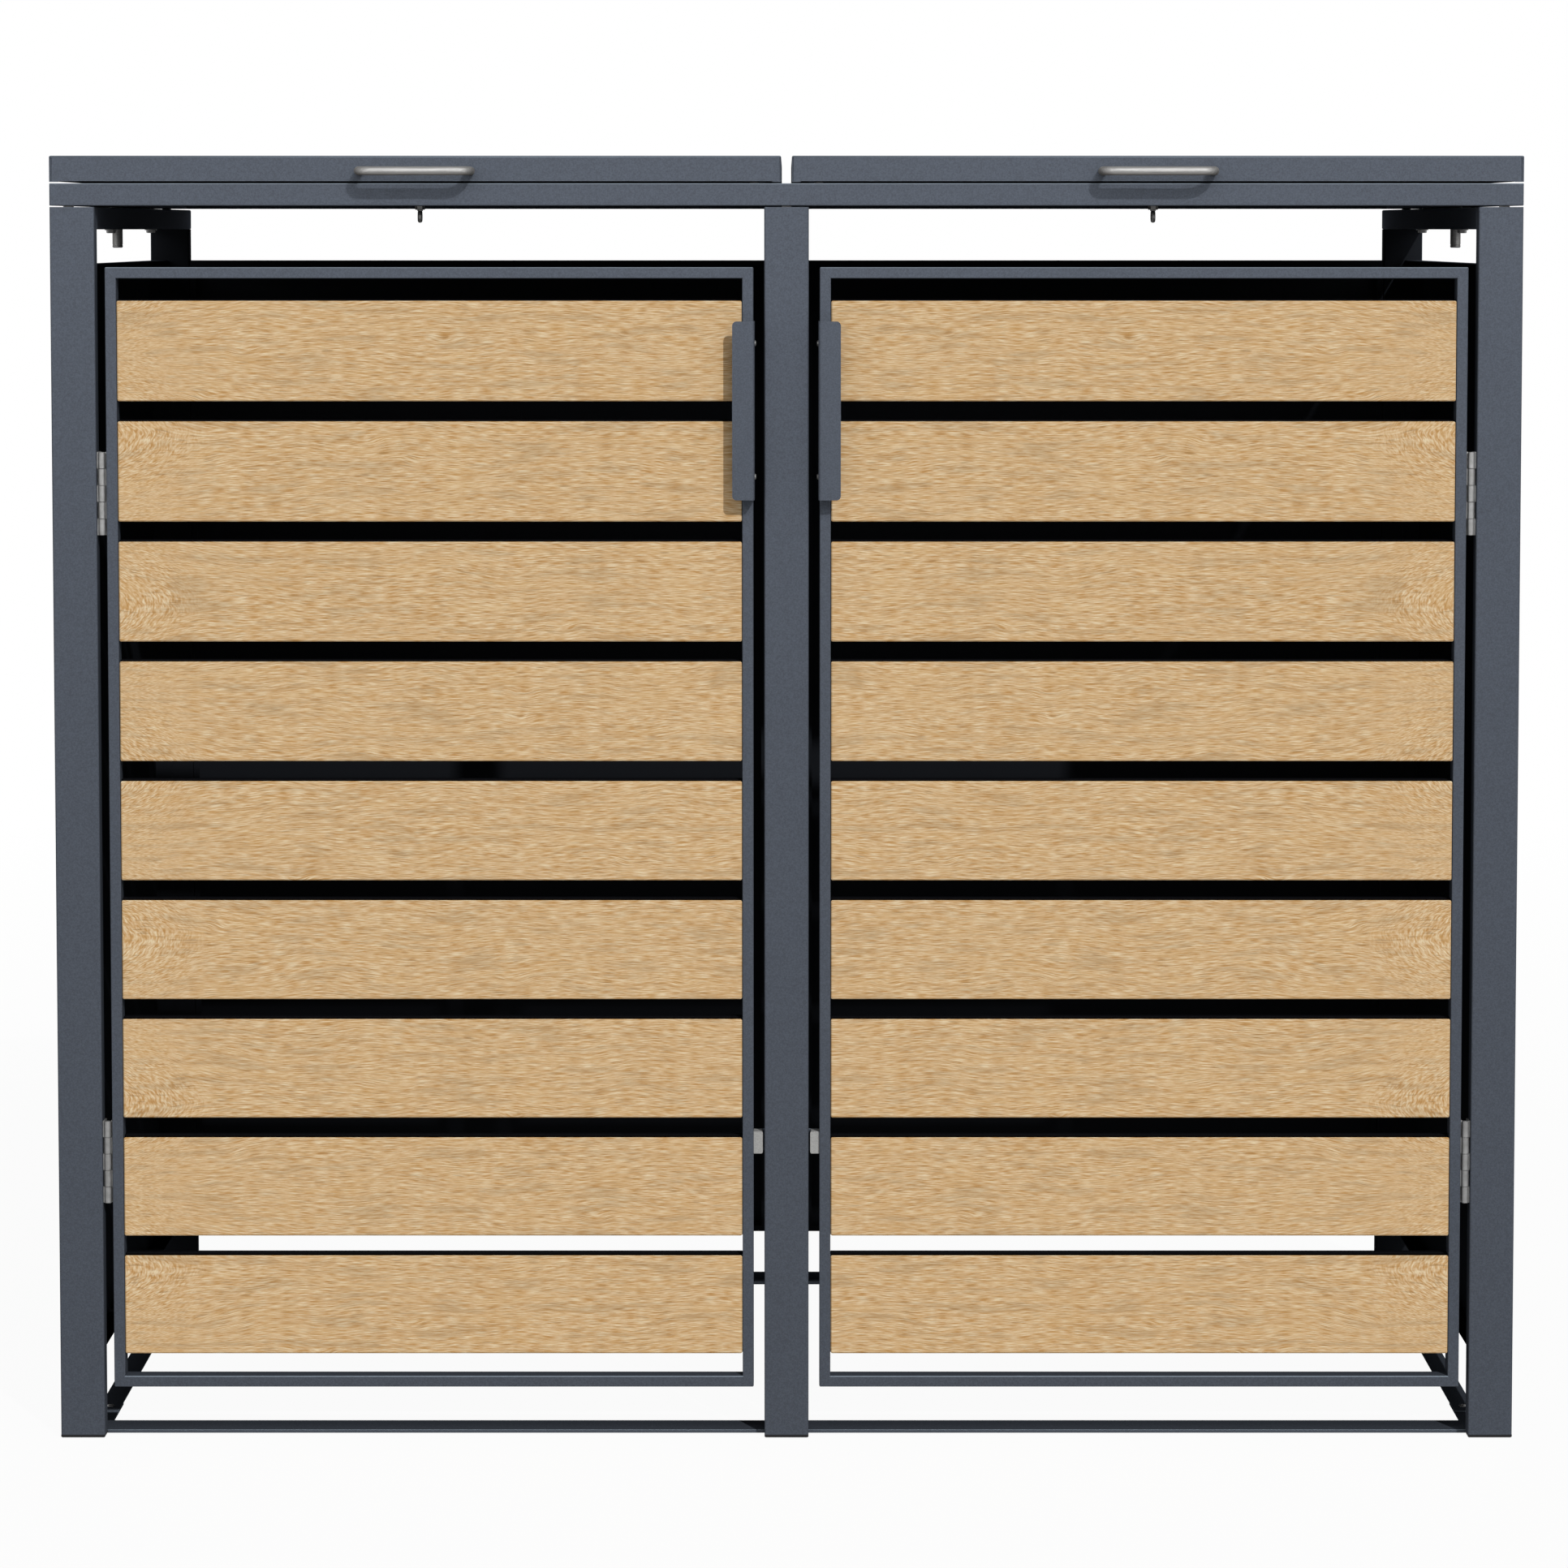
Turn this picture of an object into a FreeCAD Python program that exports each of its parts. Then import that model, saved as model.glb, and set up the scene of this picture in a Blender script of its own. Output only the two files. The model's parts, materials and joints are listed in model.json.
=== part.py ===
"""Wheelie bin store: a double store for two wheeled refuse bins.

The store is a frame of rectangular steel tube on plastic feet, closed by folded sheet panels. Two
slatted doors hang on butt hinges at the outer posts. Two folded lids hang behind the rear beam, and
each one lands on a drill-in damper and on small bumpers.

Millimetres. +X is to the right, +Y to the rear, +Z up. The origin is the middle of the overall
plan, on the floor. What is made for the left side is mirrored for the right side.
"""
import FreeCAD, Part
import math
import os
import re

import Sketcher

SIZES = {
    # the frame of 40 x 20 tube
    "overall_width": 1320.0,
    "body_depth": 800.0,
    "post_width": 40.0,
    "post_depth": 20.0,
    "tube_wall": 1.5,
    "post_top": 1116.6,
    "rail_height": 20.0,
    "beam_width": 40.0,
    "beam_height": 20.0,
    "spacer_thickness": 1.2,
    "spacer_side": 8.4,
    "spacer_inset": 16.0,
    "front_rail_spacer": 286.0,
    "rear_rail_spacer": 610.0,
    "weld_gap": 0.1,
    # foot plugs
    "foot_height": 2.8,
    "foot_bevel": 1.0,
    "foot_insert": 22.0,
    "plug_clearance": 0.1,
    # flat bars on the floor
    "floor_bar_thickness": 3.0,
    "front_bar_width": 40.0,
    "rear_bar_width": 55.0,
    "side_bar_width": 20.0,
    "tongue_thickness": 1.5,
    "tongue_reach": 80.0,
    "tongue_lap": 40.0,
    # folded panels
    "sheet": 1.2,
    "sheet_bend": 1.5,
    "panel_base": 46.0,
    "panel_top_gap": 32.1,
    "side_panel_return": 18.0,
    "rear_panel_lip": 6.0,
    "panel_gap": 0.5,
    # lids
    "lid_gap": 1.9,
    "lid_height": 22.7,
    "lid_split": 9.6,
    "lid_lip": 30.0,
    "seam_inset": 1.4,
    "seam_width": 0.8,
    "seam_depth": 0.9,
    "tab_width": 8.0,
    "tab_drop": 0.7,
    # bow handles on the lids
    "bow_spacing": 99.0,
    "bow_diameter": 8.0,
    "bow_reach": 33.0,
    "bow_bend": 12.0,
    "bow_drop": 9.0,
    # bracket and eye bolt under each lid
    "bracket_width": 40.0,
    "bracket_length": 30.0,
    "bracket_setback": 10.0,
    "bracket_sheet": 1.5,
    "bracket_flange": 12.0,
    "bracket_clearance": 0.5,
    "eye_outer": 11.5,
    "eye_bore": 6.0,
    "eye_thickness": 4.0,
    "eye_shank": 5.0,
    "eye_neck": 0.2,
    "eye_nut": 8.0,
    "eye_nut_height": 4.0,
    # drill-in dampers and bumpers
    "damper_diameter": 9.8,
    "damper_collar": 13.0,
    "damper_collar_height": 0.8,
    "damper_drop": 17.5,
    "damper_place": 336.0,
    "plunger_diameter": 3.0,
    "plunger_length": 42.0,
    "plunger_room": 1.0,
    "bumper_diameter": 8.0,
    "bumper_setback": 12.0,
    "bumper_overhang": 9.0,
    # doors
    "hinge_gap": 8.9,
    "catch_gap": 9.8,
    "door_base": 46.9,
    "door_top_gap": 33.8,
    "door_face": 10.0,
    "door_depth": 20.0,
    "door_wall": 1.0,
    # boards and the cross-bars behind them
    "board_count": 9,
    "board_height": 90.0,
    "board_thickness": 10.0,
    "board_end_gap": 0.4,
    "board_top_gap": 20.0,
    "board_bottom_gap": 20.7,
    "crossbar_overlap": 1.0,
    # grip handles
    "grip_length": 160.0,
    "grip_width": 20.0,
    "grip_reach": 20.0,
    "grip_tail": 18.0,
    "grip_bend": 2.5,
    "grip_corner": 4.0,
    "grip_inset": 48.2,
    # catches and the keeper plate
    "catch_width": 8.3,
    "catch_height": 20.0,
    "catch_setback": 3.0,
    "catch_corner": 1.6,
    "catch_base": 260.6,
    "keeper_reach": 8.0,
    "keeper_thickness": 2.0,
    # butt hinges
    "hinge_length": 75.0,
    "door_knuckle_count": 5,
    "lid_knuckle_count": 3,
    "knuckle_diameter": 6.2,
    "knuckle_play": 0.2,
    "pin_diameter": 3.2,
    "pin_clearance": 0.05,
    "leaf_thickness": 2.0,
    "leaf_width": 16.5,
    "upper_hinge_inset": 165.7,
    "lower_hinge_inset": 168.4,
    "lid_hinge_inset": 100.0,
    # clearances
    "hole_clearance": 0.2,
    "running_gap": 0.3,
}

doc = FreeCAD.newDocument("bin_store")
sheet = doc.addObject("Spreadsheet::Sheet", "sizes")
for row, (alias, value) in enumerate(SIZES.items(), start=1):
    sheet.set(f"A{row}", alias)
    sheet.set(f"B{row}", str(value))
    sheet.setAlias(f"B{row}", alias)
doc.recompute()

# Places that several pieces share, as expressions of the sizes

HALF = "(overall_width / 2)"
FRONT = "((bow_reach - body_depth - knuckle_diameter) / 2)"
REAR = f"({FRONT} + body_depth)"
BEAM_BASE = "(post_top + spacer_thickness)"
BEAM_TOP = f"({BEAM_BASE} + beam_height)"
LID_BASE = f"({BEAM_TOP} + lid_gap)"
LID_WIDTH = f"({HALF} - lid_split / 2)"
LID_MIDDLE = f"(lid_split / 2 + {LID_WIDTH} / 2)"
RAIL_BASE = "(post_top - rail_height)"
PANEL_HEIGHT = f"({RAIL_BASE} - panel_top_gap - panel_base)"
DOOR_OUTER = f"({HALF} - post_width - hinge_gap)"
DOOR_INNER = "(post_width / 2 + catch_gap)"
DOOR_WIDTH = f"({DOOR_OUTER} - {DOOR_INNER})"
DOOR_HEIGHT = f"({RAIL_BASE} - door_top_gap - door_base)"
DOOR_TOP = f"(door_base + {DOOR_HEIGHT})"
BOARD_SPAN = f"({DOOR_HEIGHT} - 2 * door_face - board_top_gap - board_bottom_gap - board_height)"
BOARD_PITCH = f"({BOARD_SPAN} / (board_count - 1))"
GRIP_BASE = f"({DOOR_TOP} - grip_inset - grip_length)"
LOWEST_BOARD = "(door_base + door_face + board_bottom_gap)"
KNUCKLE = "(knuckle_diameter / 2)"
DOOR_AXIS_X = f"({DOOR_OUTER} + hinge_gap / 2)"
DOOR_AXIS_Y = f"({FRONT} + {KNUCKLE})"
LID_AXIS_Y = f"({REAR} + {KNUCKLE})"
LID_AXIS_Z = f"({BEAM_TOP} + lid_gap / 2)"

DAMPER_HOLE = "(damper_diameter / 2 + hole_clearance)"

# Small round things that repeat have this many sides, so that the part stays light
FEW_SIDES = 12

NODES = []
HALF_TURN = FreeCAD.Rotation(FreeCAD.Vector(0, 0, 1), 180)
ALONG_X = FreeCAD.Rotation(FreeCAD.Vector(0, 1, 0), 90)
GROWS_BACKWARDS = {"XY_Plane": False, "XZ_Plane": True, "YZ_Plane": False}


# Helpers that draw, pad, cut and place

def bound(expression):
    """The expression with every size name pointing at its cell in the sheet."""
    return re.sub(r"[a-z][a-z_]+", lambda word: f"sizes.{word.group()}", str(expression))


def bind(thing, name, expression):
    thing.setExpression(name, bound(expression))


def place(thing, x, y, z):
    bind(thing, "Placement.Base.x", x)
    bind(thing, "Placement.Base.y", y)
    bind(thing, "Placement.Base.z", z)


def body_at(label, x, y, z):
    body = doc.addObject("PartDesign::Body", label)
    body.Label = label
    place(body, x, y, z)
    return body


def new_sketch(body, plane, lift):
    """A sketch on one of the body's own origin planes, raised towards the plane's plus side."""
    sketch = body.newObject("Sketcher::SketchObject", f"{body.Name}_sketch")
    support = next(item for item in body.Origin.OriginFeatures if item.Role == plane)
    sketch.AttachmentSupport = [(support, "")]
    sketch.MapMode = "FlatFace"
    sign = "-" if GROWS_BACKWARDS[plane] else ""
    bind(sketch, "AttachmentOffset.Base.z", f"{sign}({lift})")
    return sketch


def pin_distance(sketch, kind, item, point, distance, guess):
    """Hold one point of the sketch at a distance from the sketch's origin."""
    held = sketch.addConstraint(Sketcher.Constraint(kind, -1, 1, item, point, guess))
    bind(sketch, f"Constraints[{held}]", distance)


def pin_point(sketch, item, point, x, y, guess):
    pin_distance(sketch, "DistanceX", item, point, x, guess.x)
    pin_distance(sketch, "DistanceY", item, point, y, guess.y)


def draw_polygon(sketch, corners):
    first = sketch.GeometryCount
    count = len(corners)
    turns = [2 * math.pi * index / count for index in range(count)]
    guesses = [FreeCAD.Vector(10 * math.cos(turn), 10 * math.sin(turn), 0) for turn in turns]
    for index in range(count):
        sketch.addGeometry(Part.LineSegment(guesses[index], guesses[(index + 1) % count]))
    for index in range(count):
        after = first + (index + 1) % count
        sketch.addConstraint(Sketcher.Constraint("Coincident", first + index, 2, after, 1))
    for index, (x, y) in enumerate(corners):
        pin_point(sketch, first + index, 1, x, y, guesses[index])


def draw_disc(sketch, x, y, radius):
    item = sketch.addGeometry(Part.Circle(FreeCAD.Vector(1, 1, 0), FreeCAD.Vector(0, 0, 1), 1))
    size = sketch.addConstraint(Sketcher.Constraint("Radius", item, 1.0))
    bind(sketch, f"Constraints[{size}]", radius)
    pin_point(sketch, item, 3, x, y, FreeCAD.Vector(1, 1, 0))


def box(x_low, y_low, x_high, y_high):
    return [(x_low, y_low), (x_high, y_low), (x_high, y_high), (x_low, y_high)]


def regular(sides, radius, x="0"):
    """Corners of a regular polygon with its centre on the sketch's X axis, out to the radius."""
    turns = [2 * math.pi * index / sides for index in range(sides)]
    return [(f"{x} + ({radius}) * ({math.cos(turn):.6f})",
             f"({radius}) * ({math.sin(turn):.6f})") for turn in turns]


def regular_about(sides, radius):
    """Corners of a regular polygon round the sketch's origin, with its flats at the radius."""
    return regular(sides, f"({radius}) / {math.cos(math.pi / sides):.6f}")


def draw(sketch, shapes):
    """A shape is a list of corners, or a disc as a tuple of x, y and radius."""
    for shape in shapes:
        if isinstance(shape, tuple):
            draw_disc(sketch, *shape)
        else:
            draw_polygon(sketch, shape)


def add(body, plane, shapes, start, length):
    """Pad the shapes from start towards the plane's plus side."""
    sketch = new_sketch(body, plane, start)
    draw(sketch, shapes)
    feature = body.newObject("PartDesign::Pad", f"{body.Name}_pad")
    feature.Profile = sketch
    feature.Reversed = GROWS_BACKWARDS[plane]
    bind(feature, "Length", length)
    doc.recompute()
    return feature


def cut(body, plane, shapes, start, length):
    """Pocket the shapes from start towards the plane's plus side."""
    before = body.Shape.Volume
    sketch = new_sketch(body, plane, start)
    draw(sketch, shapes)
    feature = body.newObject("PartDesign::Pocket", f"{body.Name}_pocket")
    feature.Profile = sketch
    feature.Reversed = not GROWS_BACKWARDS[plane]
    bind(feature, "Length", length)
    doc.recompute()
    if not body.Shape.Volume < before:
        raise RuntimeError(f"a pocket of {body.Label} cuts nothing")
    return feature


def edges_of(body, chosen):
    """Names of the straight edges of the body's tip for which chosen(edge, box) holds."""
    shape = body.Tip.Shape
    limits = shape.BoundBox
    names = []
    for index, edge in enumerate(shape.Edges, start=1):
        if edge.Curve.TypeId == "Part::GeomLine" and chosen(edge, limits):
            names.append(f"Edge{index}")
    return names


def runs_along(edge, axis):
    """Whether a straight edge runs along axis 0, 1 or 2."""
    run = edge.Vertexes[-1].Point - edge.Vertexes[0].Point
    return all(abs(run[other]) < 1e-6 for other in range(3) if other != axis)


def at_limit(edge, limits, axis, side=None):
    """Whether the edge lies on the low side, the high side or either side of the box."""
    low = (limits.XMin, limits.YMin, limits.ZMin)[axis]
    high = (limits.XMax, limits.YMax, limits.ZMax)[axis]
    spots = [vertex.Point[axis] for vertex in edge.Vertexes]
    on_low = all(abs(spot - low) < 1e-6 for spot in spots)
    on_high = all(abs(spot - high) < 1e-6 for spot in spots)
    if side == "low":
        return on_low
    if side == "high":
        return on_high
    return on_low or on_high


def dress(body, kind, size, names):
    """Fillet or chamfer the named edges of the body's tip."""
    if not names:
        raise RuntimeError(f"no edge to dress on {body.Label}")
    base = body.Tip
    feature = body.newObject(f"PartDesign::{kind}", f"{body.Name}_{kind.lower()}")
    feature.Base = (base, names)
    bind(feature, "Radius" if kind == "Fillet" else "Size", size)
    doc.recompute()
    return feature


def keep(*pieces):
    """List the pieces as sub-parts to write out."""
    NODES.extend(pieces)
    return pieces[0]


def mirrored(source, label):
    """The same piece on the other side of the store's middle plane."""
    twin = doc.addObject("Part::Mirroring", label)
    twin.Label = label
    twin.Source = source
    twin.Base = (0, 0, 0)
    twin.Normal = (1, 0, 0)
    return twin


def pair(left):
    """Keep a left piece and its mirrored twin."""
    return keep(left, mirrored(left, left.Label.replace("left_", "right_", 1)))


def copy_at(source, x, y, z, turn=None):
    copy = doc.addObject("App::Link", f"{source.Name}_copy")
    copy.LinkedObject = source
    if turn is not None:
        copy.Placement = FreeCAD.Placement(FreeCAD.Vector(), turn)
    place(copy, x, y, z)
    return copy


def group(label, members):
    """Separate solids that share one node."""
    compound = doc.addObject("Part::Compound", label)
    compound.Label = label
    compound.Links = members
    return compound


def group_both_sides(label, members):
    """Separate solids of the left side, together with their mirrored twins."""
    left = group(f"{label}_of_left_side", members)
    return group(label, [left, mirrored(left, f"{label}_of_right_side")])


# Posts, rails and the top frame

def upright_post(label, x, y, top):
    """A post closed at its top by a welded plate."""
    body = body_at(label, x, y, "foot_height")
    height = f"({top} - foot_height)"
    add(body, "XY_Plane", [box("0", "0", "post_width", "post_depth")], "0", height)
    inside = box("tube_wall", "tube_wall", "post_width - tube_wall", "post_depth - tube_wall")
    cut(body, "XY_Plane", [inside], "0", f"{height} - tube_wall")
    return body


def make_posts():
    left = f"-{HALF}"
    middle = "-post_width / 2"
    rear = f"{REAR} - post_depth"
    front_left = upright_post("front_left_post", left, FRONT, "post_top")
    rear_left = upright_post("rear_left_post", left, rear, RAIL_BASE)
    keep(front_left, mirrored(front_left, "front_right_post"))
    keep(rear_left, mirrored(rear_left, "rear_right_post"))
    keep(upright_post("rear_centre_post", middle, rear, RAIL_BASE))
    front_centre = upright_post("front_centre_post", middle, FRONT, "post_top")
    keeper_low = "catch_base - foot_height"
    keeper = box("-keeper_reach", keeper_low, "post_width + keeper_reach",
                 f"{keeper_low} + catch_height")
    add(front_centre, "XZ_Plane", [keeper], "post_depth", "keeper_thickness")
    keep(front_centre)


def depth_rail(label, x, with_damper):
    """A rail from the front post to the rear face, closed at the rear, under the top frame."""
    body = body_at(label, x, f"{FRONT} + post_depth", RAIL_BASE)
    length = "(body_depth - post_depth)"
    add(body, "XZ_Plane", [box("0", "0", "post_width", "rail_height")], "0", length)
    inside = box("tube_wall", "tube_wall", "post_width - tube_wall", "rail_height - tube_wall")
    cut(body, "XZ_Plane", [inside], "0", f"{length} - tube_wall")
    if with_damper:
        hole = ("post_width / 2", "damper_place - post_depth", DAMPER_HOLE)
        cut(body, "XY_Plane", [hole], "0", "rail_height")
    return body


def make_rails():
    pair(depth_rail("left_top_rail", f"-{HALF}", True))
    keep(depth_rail("centre_top_rail", "-post_width / 2", False))


def frame_tube(label, x, y, outside, inside):
    """A tube of the welded top frame, lying flat."""
    body = body_at(label, x, y, BEAM_BASE)
    add(body, "XY_Plane", [outside], "0", "beam_height")
    cut(body, "XY_Plane", [inside], "tube_wall", "beam_height - 2 * tube_wall")
    return body


def make_top_frame():
    """Front and rear beams and side bars, mitred at the corners, with a bar along the middle."""
    far = "(beam_width - tube_wall)"
    beam = [("0", "0"), ("overall_width", "0"), ("overall_width - beam_width", "beam_width"),
            ("beam_width", "beam_width")]
    beam_inside = [("tube_wall", "tube_wall"), ("overall_width - tube_wall", "tube_wall"),
                   (f"overall_width - {far}", far), (far, far)]
    front = frame_tube("frame_front", f"-{HALF}", FRONT, beam, beam_inside)
    rear = copy_at(front, HALF, REAR, BEAM_BASE, HALF_TURN)
    bar = [("0", "weld_gap"), ("beam_width", "beam_width + weld_gap"),
           ("beam_width", "body_depth - beam_width - weld_gap"), ("0", "body_depth - weld_gap")]
    bar_inside = [("tube_wall", "tube_wall + weld_gap"), (far, f"{far} + weld_gap"),
                  (far, f"body_depth - {far} - weld_gap"),
                  ("tube_wall", "body_depth - tube_wall - weld_gap")]
    left = frame_tube("frame_left", f"-{HALF}", FRONT, bar, bar_inside)
    cut(left, "XY_Plane", [("post_width / 2", "damper_place", DAMPER_HOLE)], "0", "beam_height")
    ends = ("beam_width + weld_gap", "body_depth - beam_width - weld_gap")
    middle = frame_tube("frame_middle", "-beam_width / 2", FRONT,
                        box("0", ends[0], "beam_width", ends[1]),
                        box("tube_wall", ends[0], far, ends[1]))
    keep(group("top_frame", [front, rear, left, mirrored(left, "frame_right"), middle]))


def make_spacers():
    """Thin plates that carry the top frame, on the posts and along the rails."""
    plate = body_at("spacer", "0", "0", "0")
    half = "spacer_side / 2"
    add(plate, "XY_Plane", [box(f"-{half}", f"-{half}", half, half)], "0", "spacer_thickness")
    side = f"({HALF} - spacer_inset)"
    rows = ["post_depth / 2", "front_rail_spacer", "rear_rail_spacer",
            "body_depth - post_depth / 2"]
    keep(group("frame_spacers", [copy_at(plate, x, f"{FRONT} + {row}", "post_top")
                                 for x in (f"-{side}", "0", side) for row in rows]))


# Feet and the flat bars on the floor

def make_feet():
    """Plugs in the lower ends of the six posts."""
    plug = body_at("foot_plug", "0", "0", "0")
    add(plug, "XY_Plane", [box("0", "0", "post_width", "post_depth")], "0", "foot_height")
    dress(plug, "Chamfer", "foot_bevel",
          edges_of(plug, lambda edge, limits: at_limit(edge, limits, 2, "low")))
    side = "(tube_wall + plug_clearance)"
    skin = f"({side} + tube_wall)"
    add(plug, "XY_Plane", [box(side, side, f"post_width - {side}", f"post_depth - {side}")],
        "foot_height", "foot_insert")
    cut(plug, "XY_Plane", [box(skin, skin, f"post_width - {skin}", f"post_depth - {skin}")],
        "foot_height", "foot_insert")
    columns = (f"-{HALF}", "-post_width / 2", f"{HALF} - post_width")
    rows = (FRONT, f"{REAR} - post_depth")
    keep(group("post_feet", [copy_at(plug, x, y, "0") for x in columns for y in rows]))


def cross_bar(label, width, y, tongues_low, tongues_high, bar_low):
    """A bar across the store with a tongue at each end for the side bars to lap."""
    outer = f"({HALF} - post_width / 2)"
    inner = f"({outer} - side_bar_width)"
    body = body_at(label, "0", y, "0")
    add(body, "XY_Plane", [box(f"-{outer}", bar_low, outer, f"{bar_low} + {width}")], "0",
        "floor_bar_thickness")
    tongues = [box(f"-{outer}", tongues_low, f"-{inner}", tongues_high),
               box(inner, tongues_low, outer, tongues_high)]
    add(body, "XY_Plane", tongues, "0", "tongue_thickness")
    return body


def make_floor_bars():
    front_y = f"{FRONT} + post_depth"
    front = cross_bar("front_floor_bar", "front_bar_width", front_y, "front_bar_width",
                      "front_bar_width + tongue_reach", "0")
    rear_y = f"{REAR} - post_depth - rear_bar_width - tongue_reach"
    rear = cross_bar("rear_floor_bar", "rear_bar_width", rear_y, "0", "tongue_reach",
                     "tongue_reach")
    clear = "(tongue_reach - tongue_lap)"
    start = f"(front_bar_width + {clear})"
    length = f"(body_depth - 2 * post_depth - rear_bar_width - {clear} - {start})"
    left = body_at("left_floor_bar", f"-{HALF} + post_width / 2", f"{front_y} + {start}",
                   "tongue_thickness")
    add(left, "XY_Plane", [box("0", "0", "side_bar_width", length)], "0",
        "floor_bar_thickness - tongue_thickness")
    keep(group("floor_bars", [front, rear, left, mirrored(left, "right_floor_bar")]))


# Folded panels

def make_side_panels():
    """A tray between the front and rear posts, open towards the inside."""
    length = "(body_depth - 2 * post_depth)"
    body = body_at("left_side_panel", f"-{HALF}", f"{FRONT} + post_depth", "panel_base")
    add(body, "YZ_Plane", [box("0", "0", length, PANEL_HEIGHT)], "0", "side_panel_return")
    dress(body, "Fillet", "sheet_bend",
          edges_of(body, lambda edge, limits: at_limit(edge, limits, 0, "low")))
    cut(body, "YZ_Plane", [box("sheet", "sheet", f"{length} - sheet", f"{PANEL_HEIGHT} - sheet")],
        "sheet", "side_panel_return - sheet")
    pair(body)


def make_rear_panels():
    """A cassette between two rear posts, with a lip all round its open front."""
    width = f"({HALF} - post_width * 3 / 2 - 2 * panel_gap)"
    body = body_at("left_rear_panel", f"-{HALF} + post_width + panel_gap",
                   f"{REAR} - post_depth", "panel_base")
    add(body, "XZ_Plane", [box("0", "0", width, PANEL_HEIGHT)], "0", "post_depth")
    dress(body, "Fillet", "sheet_bend",
          edges_of(body, lambda edge, limits: at_limit(edge, limits, 1, "high")))
    opening = box("rear_panel_lip", "rear_panel_lip", f"{width} - rear_panel_lip",
                  f"{PANEL_HEIGHT} - rear_panel_lip")
    cut(body, "XZ_Plane", [opening], "0", "sheet")
    cavity = box("sheet", "sheet", f"{width} - sheet", f"{PANEL_HEIGHT} - sheet")
    cut(body, "XZ_Plane", [cavity], "sheet", "post_depth - 2 * sheet")
    pair(body)


# Lids and what they carry

def make_lids():
    """A folded tray with a lip under all four sides and a seam at each front and rear corner."""
    body = body_at("left_lid", f"-{HALF}", FRONT, LID_BASE)
    add(body, "XY_Plane", [box("0", "0", LID_WIDTH, "body_depth")], "0", "lid_height")
    dress(body, "Fillet", "sheet_bend",
          edges_of(body, lambda edge, limits: at_limit(edge, limits, 2, "high")))
    tabs = [box("0", "0", "tab_width", "sheet"),
            box(f"{LID_WIDTH} - tab_width", "0", LID_WIDTH, "sheet")]
    add(body, "XY_Plane", tabs, "-tab_drop", "tab_drop")
    opening = box("lid_lip", "lid_lip", f"{LID_WIDTH} - lid_lip", "body_depth - lid_lip")
    cut(body, "XY_Plane", [opening], "0", "sheet")
    cavity = box("sheet", "sheet", f"{LID_WIDTH} - sheet", "body_depth - sheet")
    cut(body, "XY_Plane", [cavity], "sheet", "lid_height - 2 * sheet")
    seam_high = "seam_inset + seam_width"
    seams = [box("seam_inset", "0", seam_high, "lid_height - sheet_bend"),
             box(f"{LID_WIDTH} - {seam_high}", "0", f"{LID_WIDTH} - seam_inset",
                 "lid_height - sheet_bend")]
    cut(body, "XZ_Plane", seams, "0", "seam_depth")
    cut(body, "XZ_Plane", seams, "body_depth - seam_depth", "seam_depth")
    pair(body)


def bow_section(x):
    """The bow's round bar, drawn with a few sides."""
    return regular(FEW_SIDES, "bow_diameter / 2", x)


def bow_turn(body, level):
    """A quarter turn of the bow from its left leg into its front bar."""
    sketch = new_sketch(body, "XZ_Plane", level)
    draw(sketch, [bow_section("-bow_spacing / 2")])
    low = FreeCAD.Vector(-20, -10, 0)
    high = FreeCAD.Vector(-20, 10, 0)
    axis = sketch.addGeometry(Part.LineSegment(low, high), True)
    pin_point(sketch, axis, 1, "bow_bend - bow_spacing / 2", "-bow_diameter", low)
    pin_point(sketch, axis, 2, "bow_bend - bow_spacing / 2", "bow_diameter", high)
    turn = body.newObject("PartDesign::Revolution", f"{body.Name}_turn")
    turn.Profile = sketch
    turn.ReferenceAxis = (sketch, ["Axis0"])
    turn.Angle = 90
    doc.recompute()
    return turn


def make_bow_handles():
    """A bar bent to a bow, with both ends on the lid's front face."""
    body = body_at("left_lid_handle", f"-{LID_MIDDLE}", FRONT, f"{LID_BASE} + bow_drop")
    side = "-bow_spacing / 2"
    reach = "(bow_reach - bow_diameter / 2)"
    leg = f"({reach} - bow_bend)"
    parts = [add(body, "XZ_Plane", [bow_section(side)], f"-{leg}", leg),
             bow_turn(body, f"-{leg}"),
             add(body, "YZ_Plane", [bow_section(f"-{reach}")], f"bow_bend + ({side})",
                 "bow_spacing / 2 - bow_bend")]
    halves = body.newObject("PartDesign::Mirrored", "bow_halves")
    halves.Originals = parts
    plane = next(item for item in body.Origin.OriginFeatures if item.Role == "YZ_Plane")
    halves.MirrorPlane = (plane, [""])
    body.Tip = halves
    doc.recompute()
    pair(body)


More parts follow.
